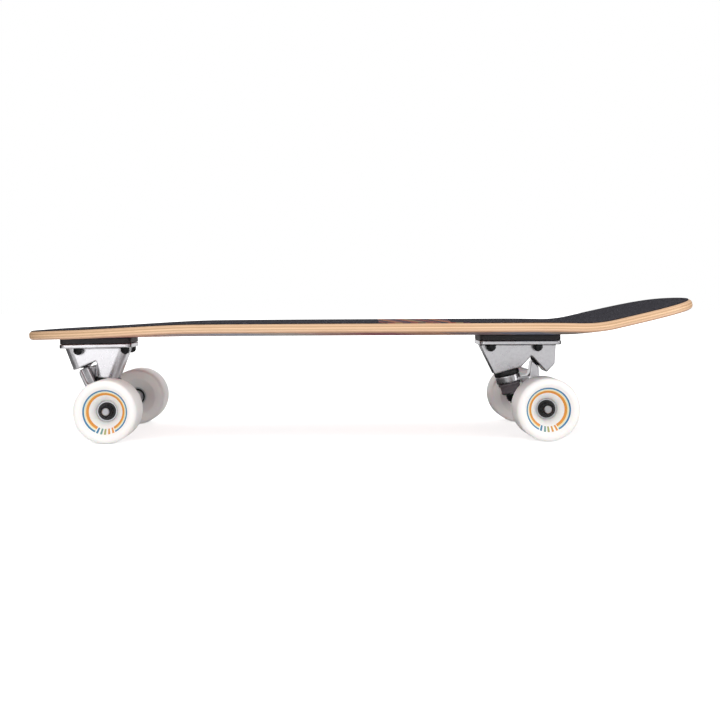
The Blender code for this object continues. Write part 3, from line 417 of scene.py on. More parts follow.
# %% The press: how high each point of the board lies
HALF_WIDTH = 124.4
WIDEST = 54.5
NOSE_TAPER, NOSE_ROUNDNESS = 3.8, 2.1
TAIL_TAPER, TAIL_ROUNDNESS = 13.0, 2.4
FLAT_HALF = 33.0
CONCAVE_DEPTH, CONCAVE_POWER, CONCAVE_FADE = 5.8, 1.2, 200.0
TAIL_LOSS, TAIL_FADE_LEAD, TAIL_FADE_LENGTH = 0.8, 50.0, 200.0
NOSE_START, NOSE_RADIUS, NOSE_ANGLE = -175.5, 1500.0, radians(0.8)
DROOP_START, DROOP_RADIUS, DROOP_ANGLE = -319.5, 1100.0, NOSE_ANGLE * 4
TAIL_LENGTH, TAIL_RADIUS, TAIL_ANGLE = 142.0, 150.0, radians(14.6)
TAIL_START = HALF_LENGTH - TAIL_LENGTH
DECK_MIDDLE = 116.6
EDGE_RADIUS = 3.8
RIM_HALF = HALF_THICKNESS - EDGE_RADIUS
NOSE_REACH = WIDEST + HALF_LENGTH - RIM_HALF * sin(NOSE_ANGLE)
TAIL_REACH = HALF_LENGTH - RIM_HALF * sin(TAIL_ANGLE) - WIDEST


def ease(share):
    """Go from 0 to 1 with a soft start and end."""
    share = min(max(share, 0.0), 1.0)
    return share * share * (3 - 2 * share)


def bend(distance, radius, angle):
    """The rise past the start of a bend: an arc, then a straight slope."""
    run = radius * sin(angle)
    if distance <= 0:
        return 0.0
    if distance < run:
        return radius - sqrt(radius ** 2 - distance ** 2)
    return radius * (1 - cos(angle)) + (distance - run) * tan(angle)


def pressed(x, y):
    """The height of the middle of the plies."""
    across = max(abs(y) - FLAT_HALF, 0.0) / (HALF_WIDTH - FLAT_HALF)
    fade = ease((x + HALF_LENGTH) / CONCAVE_FADE)
    kept = 1 - TAIL_LOSS * ease((x - TAIL_START + TAIL_FADE_LEAD) / TAIL_FADE_LENGTH)
    return (DECK_MIDDLE + CONCAVE_DEPTH * fade * kept * across ** CONCAVE_POWER
            + bend(x - TAIL_START, TAIL_RADIUS, TAIL_ANGLE)
            - bend(NOSE_START - x, NOSE_RADIUS, NOSE_ANGLE)
            - bend(DROOP_START - x, DROOP_RADIUS, DROOP_ANGLE))


def on_board(x, y, height, step=0.5):
    """A point at a height above the middle of the plies, square to them."""
    slope_x = (pressed(x + step, y) - pressed(x - step, y)) / (2 * step)
    slope_y = (pressed(x, y + step) - pressed(x, y - step)) / (2 * step)
    return Vector((x, y, pressed(x, y))) + Vector((-slope_x, -slope_y, 1)).normalized() * height


print("tail tip at height", round(pressed(HALF_LENGTH, 0), 1), "mm")

# %% [markdown]
# The sheet starts as a circle of 360 points, pushed out to the board's outline. Inset rings give
# the rounded edge something to bend, and cuts every few millimetres let the sheet follow the
# press. Its height within the plies is stored on every point, for the maple's stripes. The deck's
# edge is routed round on both sides, while the grip is rolled down over the shoulder and cut off
# there with a knife, so its lower face follows the curve instead of mirroring it.

# %% A flat sheet of the board's outline, pressed
OUTLINE_POINTS = 360
CELL = 6.0
ROUNDING_STEPS = (0.03, 0.09, 0.18, 0.3, 0.46, 0.68, 1.0)


def outline(angle, inset):
    """A point of the outline, less an inset, by its angle."""
    along = cos(angle)
    taper, roundness = (TAIL_TAPER, TAIL_ROUNDNESS) if along > 0 else (NOSE_TAPER, NOSE_ROUNDNESS)
    reach = (TAIL_REACH if along > 0 else NOSE_REACH) - inset
    width = max(1 - abs(along) ** taper, 0.0) ** (1 / roundness)
    return WIDEST + reach * along, (1 if sin(angle) >= 0 else -1) * (HALF_WIDTH - inset) * width


def sheet(inset, low, high, below):
    """A layer of the board between two heights. Its lower edge curls up (1) or down (-1)."""
    bm = bmesh.new()
    bmesh.ops.create_circle(bm, cap_ends=True, segments=OUTLINE_POINTS, radius=1.0)
    bm.verts.layers.float.new("ply")
    depth = bm.verts.layers.float.new("inset")
    for vert in bm.verts:
        vert.co.x, vert.co.y = outline(atan2(vert.co.y, vert.co.x), inset)
        vert[depth] = inset
    inner, reached = bm.faces[:], inset
    for share in ROUNDING_STEPS:
        wanted = inset + (EDGE_RADIUS - inset) * share
        border = bmesh.ops.inset_region(bm, faces=inner, thickness=wanted - reached,
                                        use_even_offset=True, use_boundary=True)["faces"]
        reached = wanted
        inner = [face for face in bm.faces if len(face.verts) > 4 and face not in border]
        for vert in {v for face in inner for v in face.verts}:
            vert[depth] = reached
    for axis, half in (((1, 0, 0), HALF_LENGTH), ((0, 1, 0), HALF_WIDTH)):
        count = int(2 * half / CELL)
        for number in range(1, count):
            bmesh.ops.bisect_plane(bm, geom=bm.verts[:] + bm.edges[:] + bm.faces[:], dist=0.02,
                                   plane_co=Vector(axis) * (2 * half * number / count - half),
                                   plane_no=axis)
    bmesh.ops.remove_doubles(bm, verts=bm.verts, dist=0.05)
    raised = bmesh.ops.extrude_face_region(bm, geom=bm.faces[:], use_keep_orig=True)["geom"]
    upper = {item for item in raised if isinstance(item, bmesh.types.BMVert)}
    ply = bm.verts.layers.float["ply"]
    for vert in bm.verts:
        short = max(EDGE_RADIUS - vert[depth], 0.0)
        drop = EDGE_RADIUS - sqrt(max(EDGE_RADIUS ** 2 - short ** 2, 0.0))
        vert[ply] = high - drop if vert in upper else low + drop * below
        vert.co = on_board(vert.co.x, vert.co.y, vert[ply])
    bmesh.ops.recalc_face_normals(bm, faces=bm.faces)
    return bm


print("rows along and across:", int(BOARD_LENGTH / CELL), int(2 * HALF_WIDTH / CELL))

# %% [markdown]
# ## Turned pieces, and where they sit
# Bolts, bushings, bearings and wheels are all made on a lathe or in a round mould, so each is a
# section spun about an axis. The axis is measured from the CAD node: the points of a long bolt
# spread most along it. Hexagons come from the same spin: the round wall is pressed onto six
# flats, which also gives a nut the curved chamfers that a real one has.

# %% Measuring nodes and spinning sections
def points_of(node):
    """A node's points in millimetres."""
    mesh = nodes[node].data
    flat = np.empty(len(mesh.vertices) * 3)
    mesh.vertices.foreach_get("co", flat)
    return np.unique(np.round(flat.reshape(-1, 3) / MM, 4), axis=0)


def bolt_axis(node):
    """The middle of a long round node and its direction, pointing up."""
    points = points_of(node)
    middle = points.mean(axis=0)
    direction = np.linalg.svd(points - middle)[2][0]
    return Vector(middle), Vector(direction * np.sign(direction[2]))


def span(node, place, axis):
    """A node's lowest and highest points along an axis, and its widest radius about it."""
    offsets = points_of(node) - np.array(place)
    heights = offsets @ np.array(axis)
    radii = np.linalg.norm(offsets - np.outer(heights, axis), axis=1)
    return heights.min(), heights.max(), radii.max()


def spun(section, steps=72, closed=True):
    """Spin a section of (radius, height) pairs about the Z axis."""
    bm = bmesh.new()
    verts = [bm.verts.new((radius, 0, height)) for radius, height in section]
    following = verts[1:] + verts[:1] if closed else verts[1:]
    edges = [bm.edges.new(pair) for pair in zip(verts, following)]
    bmesh.ops.spin(bm, geom=verts + edges, cent=(0, 0, 0), axis=(0, 0, 1), angle=2 * pi,
                   steps=steps, use_merge=True)
    bmesh.ops.remove_doubles(bm, verts=bm.verts, dist=0.001)
    bmesh.ops.recalc_face_normals(bm, faces=bm.faces)
    return bm


def stand(bm, place, axis):
    """Move a spun bmesh to its place, with its Z axis along the given one."""
    turn = Vector((0, 0, 1)).rotation_difference(Vector(axis)).to_matrix().to_4x4()
    bmesh.ops.transform(bm, matrix=Matrix.Translation(place) @ turn, verts=bm.verts)
    return bm


DECK_BOLTS = {name: bolt_axis(name) for name in nodes if name.endswith("_deck_bolt")}
KINGPINS = {end: bolt_axis(f"{end}_kingpin") for end in ENDS}
for end, (place, axis) in KINGPINS.items():
    print(end, "kingpin leans along", [round(v, 3) for v in axis])

# %% [markdown]
# The deck and the grip are drilled for the bolts before they are settled: one cutter with all
# eight countersunk holes goes through both.

# %% Deck and grip
GRIP_MARGIN, GRIP_THICKNESS = 2.6, 0.8
GRIP_TOP = HALF_THICKNESS + GRIP_THICKNESS
BOLT_HEAD_RADIUS, BOLT_RADIUS, BOLT_RIM = 4.6, 2.4, 0.7
CLEARANCE = 0.12
DRILL_ABOVE, DRILL_BELOW = 5, 30


def bolt_holes():
    """An object with the eight countersunk holes, to cut them with."""
    bm = bmesh.new()
    for name, (place, axis) in DECK_BOLTS.items():
        top = span(name, place, axis)[1]
        head, shank = BOLT_HEAD_RADIUS + CLEARANCE, BOLT_RADIUS + CLEARANCE
        hole = spun([(0, top + DRILL_ABOVE), (head, top + DRILL_ABOVE), (head, top - BOLT_RIM),
                     (shank, top - BOLT_RIM - head + shank), (shank, top - DRILL_BELOW),
                     (0, top - DRILL_BELOW)], steps=48, closed=False)
        mesh = mesh_of(stand(hole, place, axis), "hole")
        bm.from_mesh(mesh)
        bpy.data.meshes.remove(mesh)
    bmesh.ops.scale(bm, vec=(MM, MM, MM), verts=bm.verts)
    return put("bolt_holes", mesh_of(bm, "bolt_holes"))


def bake(piece):
    """Apply a piece's modifiers to its mesh."""
    graph = bpy.context.evaluated_depsgraph_get()
    made = bpy.data.meshes.new_from_object(piece.evaluated_get(graph))
    piece.modifiers.clear()
    old, piece.data = piece.data, made
    bpy.data.meshes.remove(old)


cutter = bolt_holes()
for layer in (settle(sheet(0.0, -HALF_THICKNESS, HALF_THICKNESS, 1), "deck_maple", "deck", MAPLE),
              settle(sheet(GRIP_MARGIN, HALF_THICKNESS, GRIP_TOP, -1), "grip_sheet", "grip_tape",
                     GRIP)):
    drill = layer.modifiers.new("bolt holes", "BOOLEAN")
    drill.operation = "DIFFERENCE"
    drill.solver = "EXACT"
    drill.object = cutter
    bake(layer)
    layer.data.set_sharp_from_angle(angle=radians(SMOOTH_BELOW))
    print(layer.name, len(layer.data.polygons), "faces")
bpy.data.objects.remove(cutter)

# %% [markdown]
# ## Castings and risers
# A casting has no sharp edge: the mould's corners are rounded, and so is every place where two
# walls meet, because metal flows badly round a corner. Bevels and fillets on so many crossing
# limbs would be long work. Instead a copy of the CAD solid gets a new skin of half-millimetre
# squares, which is then smoothed, and every edge and every root rounds by itself.

# %% Copies with a cast skin
SKIN = 0.55


def skinned(node, material, name, skin=SKIN, passes=6, webs=()):
    """A node's solid, with further webs, under a new skin with rounded edges."""
    bm = bmesh.new()
    bm.from_mesh(nodes[node].data)
    bmesh.ops.remove_doubles(bm, verts=bm.verts, dist=0.001 * MM)
    bmesh.ops.scale(bm, vec=(1 / MM, 1 / MM, 1 / MM), verts=bm.verts)
    for web in webs:
        bm.from_mesh(web)
        bpy.data.meshes.remove(web)
    piece = settle(bm, name, node, material)
    remesh = piece.modifiers.new("skin", "REMESH")
    remesh.mode = "VOXEL"
    remesh.voxel_size = skin * MM
    relax = piece.modifiers.new("draft", "SMOOTH")
    relax.factor = 0.5
    relax.iterations = passes
    bake(piece)
    piece.data.shade_smooth()
    print(name, len(piece.data.polygons), "faces")
    return piece


def truck_place(end):
    """The middle of a truck's bolts on the deck's underside, with outwards, across and up."""
    bolts = {name: bolt for name, bolt in DECK_BOLTS.items() if name.startswith(end)}
    up = sum((axis for _, axis in bolts.values()), Vector()).normalized()
    tops = [place + axis * span(name, place, axis)[1] for name, (place, axis) in bolts.items()]
    outward = Vector((ENDS[end], 0, 0))
    outward = (outward - up * outward.dot(up)).normalized()
    middle = sum(tops, Vector()) / len(tops) - up * (GRIP_TOP + HALF_THICKNESS)
    axes = Matrix((outward, up.cross(outward), up)).transposed().to_4x4()
    return Matrix.Translation(middle) @ axes


print("rear truck at", [round(v, 1) for v in truck_place("rear").translation])

# %% [markdown]
# Each hanger's arm has a flat web, which gives it the outline that shows beside the wheel. It is
# drawn as a side view in the truck's own directions, extruded, and taken into the same skin. The
# front arm then thins towards its edges, which leaves a ridge down the middle of its side.

# %% Webs of the hangers' arms, and the castings
FINE_SKIN = 0.4
ARM_HALF_WIDTH = 8.0
ARMS = {
    "front": ((10.7, -31.6), (10.8, -38.0), (11.0, -46.0), (9.0, -54.0), (16.0, -56.0),
              (24.0, -40.0), (20.0, -34.6)),
    "rear": ((21.6, -33.0), (21.2, -36.4), (20.8, -41.1), (19.2, -45.8), (16.6, -49.3),
             (11.6, -52.8), (10.0, -56.0), (24.0, -58.0), (28.6, -46.0), (28.3, -35.4))}
RIDGE_SPOT, RIDGE_RUN = Vector((18.0, -38.0)), Vector((-8.4, -18.0)).normalized()
RIDGE_LOW, RIDGE_HIGH, RIDGE_FADE = -55.0, -31.0, 4
RIDGE_REACH, RIDGE_EDGE, RIDGE_HALF = 9, 2, 8.5
RIDGE_SLOPES = (0.18, 0.6)


def web(end):
    """The flat web of a hanger's arm, from its side view (outwards, up) in the truck's place."""
    bm = bmesh.new()
    side = bm.faces.new([bm.verts.new((x, -ARM_HALF_WIDTH, z)) for x, z in ARMS[end]])
    grown = bmesh.ops.extrude_face_region(bm, geom=[side])["geom"]
    bmesh.ops.translate(bm, vec=(0, 2 * ARM_HALF_WIDTH, 0),
                        verts=[item for item in grown if isinstance(item, bmesh.types.BMVert)])
    bmesh.ops.transform(bm, matrix=truck_place(end), verts=bm.verts)
    bmesh.ops.recalc_face_normals(bm, faces=bm.faces)
    return mesh_of(bm, "web")


def ridge(piece, end):
    """Thin a casting's arm towards its edges, so that a ridge runs down the middle of its side."""
    place = truck_place(end)
    inverse = place.inverted()
    for vert in piece.data.vertices:
        local = inverse @ (vert.co / MM)
        offset = Vector((local.x, local.z)) - RIDGE_SPOT
        aside = offset.x * RIDGE_RUN.y - offset.y * RIDGE_RUN.x
        share = (ease((local.z - RIDGE_LOW) / RIDGE_FADE)
                 * ease((RIDGE_HIGH - local.z) / RIDGE_FADE)
                 * ease((RIDGE_REACH - abs(aside)) / RIDGE_EDGE))
        local.y *= 1 - share * (abs(aside) * RIDGE_SLOPES[aside > 0] / RIDGE_HALF)
        vert.co = (place @ local) * MM


for end in ENDS:
    skinned(f"{end}_base", CAST, f"{end}_base_cast")
    hanger = skinned(f"{end}_hanger", CAST, f"{end}_hanger_cast", passes=12, webs=[web(end)])
    if end == "front":
        ridge(hanger, end)
    skinned(f"{end}_riser_pad", ABS_BLACK, f"{end}_riser_moulded", passes=3)
    skinned(f"{end}_pivot_cup", URETHANE_BLACK, f"{end}_pivot_cup_moulded", skin=FINE_SKIN,
            passes=2)

# %% [markdown]
# ## Threads and lock nuts
# Real threads wind, but at this size rings read the same and close up cleanly, so a thread is
# part of the section that is spun. A lock nut is a hexagon with a round collar that holds a ring
# of nylon: the faces near its bore get that second material.

# %% Threads, hexagons and lock nuts
THREAD_PITCH, THREAD_DEPTH = 1.25, 0.45
THREAD_CHAMFER, THREAD_START = 1.0, 0.8
NUT_CHAMFER, COLLAR_STEP, COLLAR_FROM = 0.7, 0.5, 0.72


def threaded(radius, start, end, pitch=THREAD_PITCH):
    """A rod's thread from its end: a chamfer, then ridges and grooves in turn."""
    count = int((end - start) / pitch)
    section = [(0, start), (radius - THREAD_CHAMFER, start)]
    for number in range(count):
        height = start + THREAD_START + number * pitch
        section += [(radius, height), (radius - THREAD_DEPTH, height + pitch / 2)]
    return section + [(radius, start + THREAD_START + count * pitch)]


def corner_of(flats):
    """The radius of a hexagon's corners, from the distance between its flats."""
    return flats / 2 / cos(pi / 6)


def off_flat(vert):
    """The angle between a point and the middle of the nearest flat of a hexagon."""
    return (atan2(vert.co.y, vert.co.x) + pi / 6) % (pi / 3) - pi / 6


def press_flats(bm, flats, beyond):
    """Press what lies beyond a radius onto a hexagon of that distance between its flats."""
    for vert in bm.verts:
        radius = vert.co.xy.length
        if radius > beyond:
            vert.co.xy *= min(1.0, flats / 2 / cos(off_flat(vert)) / radius)


def lock_nut(name, node, place, axis, start, height, flats, bore):
    """A hexagon nut with a nylon collar, standing on its start along the axis."""
    corner = corner_of(flats)
    collar, rim = flats / 2 - COLLAR_STEP, height * COLLAR_FROM
    bm = spun([(bore, 0), (flats / 2 + 0.2, 0), (corner, NUT_CHAMFER), (corner, rim - NUT_CHAMFER),
               (flats / 2 - 0.1, rim), (collar, rim + 0.15), (collar - 0.1, height - 0.6),
               (collar - 0.9, height), (bore + 0.9, height), (bore + 0.1, height - 0.5)])
    press_flats(bm, flats, beyond=collar + 0.05)
    stand(bm, place + axis * start, axis)
    limit = (bore + 1.1) * MM
    centre = (place + axis * start) * MM

    def nylon(face):
        offset = face.calc_center_median() - centre
        height_here = offset.dot(axis)
        return int((offset - axis * height_here).length < limit and height_here > rim * MM)

    return settle(bm, name, node, BLACK_STEEL, SEAL, pick=nylon, smooth=CRISP_BELOW)


print("a hexagon's corner radius over its flats:", round(corner_of(1), 3))

# %% [markdown]
# ## Kingpins, bushings and their washers
# The kingpin clamps the hanger's ring between two bushings. They are the springs of the truck:
# urethane, cast with soft lips. When the board leans, the end of a bushing at the ring turns with
# the hanger and its other end stays, so each one is blended between those two bodies. The
# kingpin's thread shows below its nut. The frame's solids stand 0.3 mm apart where they should
# touch, and where that would show, a piece reaches into the gap.

# %% Kingpin sets
PLUG_RADIUS, PLUG_DEPTH = 9.0, 2.7
KINGPIN_RADIUS, KINGPIN_FLATS, KINGPIN_HEAD = 4.75, 14.3, 6.0
KINGPIN_THREAD, KINGPIN_CHAMFER = 13.0, 0.6
BORE_GAP, SEAT_REACH = 0.1, 0.25
BUSHING_BORE = KINGPIN_RADIUS + BORE_GAP
for end in ENDS:
    place, up = KINGPINS[end]
    node = f"{end}_kingpin"
    low, high, _ = span(node, place, up)
    shank = threaded(KINGPIN_RADIUS, low, low + KINGPIN_THREAD)
    head = corner_of(KINGPIN_FLATS)
    pin = spun(shank + [(KINGPIN_RADIUS, high - KINGPIN_HEAD), (head, high - KINGPIN_HEAD),
                        (head, high - KINGPIN_CHAMFER), (head - KINGPIN_CHAMFER, high),
                        (0, high)], steps=48, closed=False)
    press_flats(pin, KINGPIN_FLATS, beyond=KINGPIN_RADIUS + BORE_GAP)
    settle(stand(pin, place, up), f"{node}_bolt", node, BLACK_STEEL, smooth=CRISP_BELOW)

    node = f"{end}_board_bushing"
    low, high, radius = span(node, place, up)
    seat = high - PLUG_DEPTH
    bushing = spun([(BUSHING_BORE, low - SEAT_REACH), (radius, low - SEAT_REACH), (radius, seat),
                    (PLUG_RADIUS, seat), (PLUG_RADIUS, high), (BUSHING_BORE, high)])
    soften(bushing, 0.8, segments=3)
    bushing = settle(stand(bushing, place, up), f"{node}_cast", node, URETHANE_BLACK, rides=False)
    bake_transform(bushing, f"{end}_truck", "board", (place + up * low) * MM, (place + up * seat) * MM)

    node = f"{end}_road_bushing"
    low, high, radius = span(node, place, up)
    foot = radius - 1.0
    bushing = spun([(BUSHING_BORE, low), (foot, low), (foot, low + 1.2), (foot - 0.7, low + 2.4),
                    (foot - 0.3, high - 3.6), (radius, high - 2.4), (radius, high),
                    (BUSHING_BORE, high)])
    soften(bushing, 0.7, segments=3)
    bushing = settle(stand(bushing, place, up), f"{node}_cast", node, URETHANE_GREY, rides=False)
    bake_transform(bushing, "board", f"{end}_truck", (place + up * low) * MM, (place + up * high) * MM)

    node = f"{end}_cup_washer"
    low, high, radius = span(node, place, up)
    cup = spun([(BUSHING_BORE, low), (radius - 2.6, low), (radius - 0.9, low + 0.5),
                (radius, high), (radius - 0.8, high + 0.1), (radius - 2.2, low + 1.3),
                (BUSHING_BORE, low + 1.3)])
    soften(cup, 0.2, angle=50)
    settle(stand(cup, place, up), f"{node}_pressed", node, PLATED)

    low, high, _ = span(f"{end}_kingpin_nut", place, up)
    lock_nut(f"{end}_kingpin_lock_nut", f"{end}_kingpin_nut", place, -up, -high, high - low,
             KINGPIN_FLATS, BUSHING_BORE)
print("kingpin sets:", len(KINGPINS))

# %% [markdown]
# ## Deck bolts and their nuts
# Eight countersunk bolts hold the trucks. Their heads lie flush with the grip, with a hexagon
# socket for the key: the same spin as a nut, but the flats are pressed on the inner wall.

# %% Bolts through the deck
KEY_FLATS, KEY_DEPTH, KEY_EDGE = 3.2, 2.0, 0.15
DECK_THREAD, DECK_PITCH, DECK_NUT_FLATS = 12.0, 0.8, 9.5
socket = corner_of(KEY_FLATS)
for name, (place, axis) in DECK_BOLTS.items():
    low, high, _ = span(name, place, axis)
    section = threaded(BOLT_RADIUS, low, low + DECK_THREAD, pitch=DECK_PITCH) + [
        (BOLT_RADIUS, high - BOLT_RIM - BOLT_HEAD_RADIUS + BOLT_RADIUS),
        (BOLT_HEAD_RADIUS, high - BOLT_RIM), (BOLT_HEAD_RADIUS, high - KEY_EDGE),
        (BOLT_HEAD_RADIUS - 0.2, high), (socket + 0.1, high), (socket, high - KEY_EDGE),
        (socket, high - KEY_DEPTH), (0, high - KEY_DEPTH)]
    bolt = spun(section, steps=48, closed=False)
    for vert in bolt.verts:
        radius = vert.co.xy.length
        if vert.co.z > high - KEY_DEPTH - 0.01 and socket * 0.9 < radius < socket + 0.05:
            vert.co.xy *= KEY_FLATS / 2 / cos(off_flat(vert)) / radius
    settle(stand(bolt, place, axis), f"{name}_turned", name, BLACK_STEEL, smooth=CRISP_BELOW)
    nut = name.replace("deck_bolt", "lock_nut")
    low, high, _ = span(nut, place, axis)
    lock_nut(f"{nut}_turned", nut, place, -axis, -high, high - low, DECK_NUT_FLATS,
             BOLT_RADIUS + BORE_GAP)
print("deck bolts:", len(DECK_BOLTS))

# %% [markdown]
# ## Wheels
# A wheel is cast round its bearing seats. Its outer face is dished: from the lip it falls gently
# to the printed rings and then steeply to the bearing, which sits well inside. The inner face is
# flat with a shallow cone. Both are one section, spun once; its corners are rounded afterwards.

# %% Wheels about their axles
WHEEL_RADIUS, WHEEL_LIP, LIP_STEPS = 34.0, 5.0, 6
WHEEL_SMOOTH_BELOW = 60
FACE_OUT, OUTER_LIP_TURN = 22.9, 125
FACE_IN, INNER_LIP_TURN = -23.5, 90
FACE_SECTION = [(11.1, 6.6), (11.3, 7.6), (12.1, 8.8), (13.6, 10.4), (15.8, 12.5), (18.3, 14.8),
                (20.8, 17.0), (23.5, 19.2)]
BACK_SECTION = [(23.0, -23.5), (21.6, -22.8), (15.0, -19.2), (12.6, -17.9), (11.1, -17.5)]
BORE_SECTION = [(11.1, -10.6), (9.2, -10.4), (9.2, -0.6), (11.1, -0.4)]


def lip(face, end):
    """The rounded lip between the tread and a face, from the tread inwards."""
    way = 1 if face > 0 else -1
    turns = [radians(end * step / LIP_STEPS) for step in range(LIP_STEPS + 1)]
    return [(WHEEL_RADIUS - WHEEL_LIP + WHEEL_LIP * cos(turn),
             face - way * WHEEL_LIP * (1 - sin(turn))) for turn in turns]


def wheel(corner):
    """One wheel; returns its axle's place and the direction outwards along it."""
    axle = Vector(joints[f"{corner}_spin"]["pos_m"]) / MM
    outward = Vector((0, 1 if axle.y > 0 else -1, 0))
    section = FACE_SECTION + lip(FACE_OUT, OUTER_LIP_TURN)[::-1] + lip(FACE_IN, INNER_LIP_TURN)
    bm = spun(section + BACK_SECTION + BORE_SECTION, steps=120)
    soften(bm, 0.7, angle=12)
    stand(bm, axle, outward)
    cast = urethane(f"cast urethane, {corner.replace('_', ' ')}", axle * MM, outward.y)
    settle(bm, f"{corner}_wheel_cast", f"{corner}_wheel", cast, smooth=WHEEL_SMOOTH_BELOW)
    return axle, outward


AXLES = {f"{end}_{side}": wheel(f"{end}_{side}") for end in ENDS for side in SIDES}
print("wheels:", len(AXLES))

# %% [markdown]
# ## Bearings, axles and nuts
# Each wheel runs on two ball bearings of the common skate size, 22 mm across. What shows of one
# is the steel of its two races and, between them, a black rubber seal that sits a little deeper.
# A thin washer lies between bearing and nut, and another between bearing and hanger.

# %% Bearings and what holds them
RACE_OUTER, RACE_INNER = 9.7, 6.3
SEAL_DEPTH, SEAL_SLANT = 0.35, 0.15
RACE_CHAMFER, BORE_CHAMFER = 0.3, 0.2
AXLE_RADIUS, AXLE_THREAD, AXLE_PITCH, NUT_FLATS = 4.0, 12.0, 1.0, 12.7
HUB_BORE = AXLE_RADIUS + BORE_GAP
WASHER_THICKNESS, WASHER_RADIUS, WASHER_GAP = 0.9, 6.0, 0.05


def bearing(node, place, axis):
    """A bearing: two races of steel with a seal between them, the same on both sides."""
    low, high, radius = span(node, place, axis)
    half, middle = (high - low) / 2, (high + low) / 2
    faces = [(radius - RACE_CHAMFER, half), (RACE_OUTER, half),
             (RACE_OUTER - SEAL_SLANT, half - SEAL_DEPTH),
             (RACE_INNER + SEAL_SLANT, half - SEAL_DEPTH), (RACE_INNER, half),
             (HUB_BORE + BORE_CHAMFER, half), (HUB_BORE, half - BORE_CHAMFER)]
    section = faces + [(r, -h) for r, h in reversed(faces)] + [
        (radius, -half + RACE_CHAMFER), (radius, half - RACE_CHAMFER)]
    bm = stand(spun(section), place + axis * middle, axis)
    centre = (place + axis * middle) * MM

    def seal(face):
        offset = face.calc_center_median() - centre
        out = (offset - axis * offset.dot(axis)).length / MM
        return int(RACE_INNER < out < RACE_OUTER)

    settle(bm, f"{node}_turned", node, RACE_STEEL, SEAL, pick=seal, smooth=CRISP_BELOW)


def washer(name, node, place, axis, start):
    """A thin washer about an axle, standing on its start along the axis."""
    end = start + WASHER_THICKNESS
    bm = spun([(HUB_BORE, start), (WASHER_RADIUS, start), (WASHER_RADIUS, end), (HUB_BORE, end)])
    soften(bm, 0.15)
    settle(stand(bm, place, axis), name, node, PLATED, stands_in=False)


for corner, (axle, outward) in AXLES.items():
    for row in ("inner", "outer"):
        bearing(f"{corner}_{row}_bearing", axle, outward)
    node = f"{corner}_axle_nut"
    low, high, _ = span(node, axle, outward)
    washer(f"{corner}_outer_speed_washer", node, axle, outward, low - SEAT_REACH)
    start = low + WASHER_THICKNESS - SEAT_REACH
    lock_nut(f"{corner}_axle_lock_nut", node, axle, outward, start, high - start, NUT_FLATS,
             HUB_BORE)
    node = f"{corner}_bearing_spacer"
    seat = span(f"{corner}_inner_bearing", axle, outward)[0] - WASHER_GAP
    washer(f"{corner}_inner_speed_washer", node, axle, outward, seat - WASHER_THICKNESS)
    low, high, radius = span(node, axle, outward)
    tube = spun([(HUB_BORE, low), (radius, low), (radius, high), (HUB_BORE, high)], steps=48)
    settle(stand(tube, axle, outward), f"{corner}_spacer_turned", node, PLATED, smooth=CRISP_BELOW)

for end in ENDS:
    place = (AXLES[f"{end}_left"][0] + AXLES[f"{end}_right"][0]) / 2
    axis = Vector((0, 1, 0))
    low, high, _ = span(f"{end}_axle", place, axis)
    left = threaded(AXLE_RADIUS, low, low + AXLE_THREAD, pitch=AXLE_PITCH)
    rod = spun(left + [(r, -h) for r, h in reversed(left)], steps=48, closed=False)
    settle(stand(rod, place, axis), f"{end}_axle_rod", f"{end}_axle", PLATED, smooth=CRISP_BELOW)

# %% [markdown]
# ## The studio
# The board stands on a pale floor under soft light. The floor glows only for rays from the
# camera, in reflections and through glass, so that white costs no extra light on the board, and
# the floor still takes its shadow. The world is white for those rays too, and the light that it
# gives the board is set apart from that. From here on, lengths are metres.

# %% Floor and world
FLOOR_HALF, FLOOR_DROP = 12.0, 0.2 * MM
FLOOR_GLOW, REFLECTED_GLOW = 0.65, 0.1
WORLD_LIGHT = 1.0


def seen_rays(owner):
    """1 for rays from the camera, in reflections and through glass, else 0."""
    path = add(owner, "LightPath").outputs
    both = add(owner, "Math", {0: path["Is Camera Ray"], 1: path["Is Glossy Ray"]},
               operation="MAXIMUM")
    return add(owner, "Math", {0: both, 1: path["Is Transmission Ray"]}, operation="MAXIMUM")


def studio_floor():
    bm = bmesh.new()
    bmesh.ops.create_grid(bm, x_segments=1, y_segments=1, size=FLOOR_HALF)
    mesh = mesh_of(bm, "studio_floor")
    floor = put("studio_floor", mesh)
    floor.location.z = -FLOOR_DROP
    material = bpy.data.materials.new("white studio floor")
    material.use_nodes = True
    tree = material.node_tree
    tree.nodes.remove(tree.nodes["Principled BSDF"])
    matt = add(material, "BsdfDiffuse", {"Color": linear("f2f2f2")})
    direct = add(material, "LightPath").outputs["Is Camera Ray"]
    level = add(material, "MapRange", {
        "Value": direct, "To Min": REFLECTED_GLOW, "To Max": FLOOR_GLOW})
    glow = add(material, "Math", {0: seen_rays(material), 1: level}, operation="MULTIPLY")
    lit = add(material, "Emission", {"Strength": glow})
    both = add(material, "AddShader", {0: matt, 1: lit})
    plug(material, tree.nodes["Material Output"], {"Surface": both})
    mesh.materials.append(material)
    floor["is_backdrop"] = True


def studio_world():
    world = bpy.data.worlds.new("white studio")
    bpy.context.scene.world = world
    world.use_nodes = True
    strength = add(world, "MapRange", {
        "Value": seen_rays(world), "To Min": WORLD_LIGHT, "To Max": 1.0})
    plug(world, world.node_tree.nodes["Background"], {"Color": (1, 1, 1, 1), "Strength": strength})


studio_floor()
studio_world()
print("the floor is", 2 * FLOOR_HALF, "m wide")

# %% [markdown]
# Metal shows its surroundings, and in an all-white room a casting loses its shape. So dark cards
# stand around the set, out of the camera's sight, and give each wall of the castings a tone of
# its own. Two of them also shade the board's sides, and the others show in reflections alone.

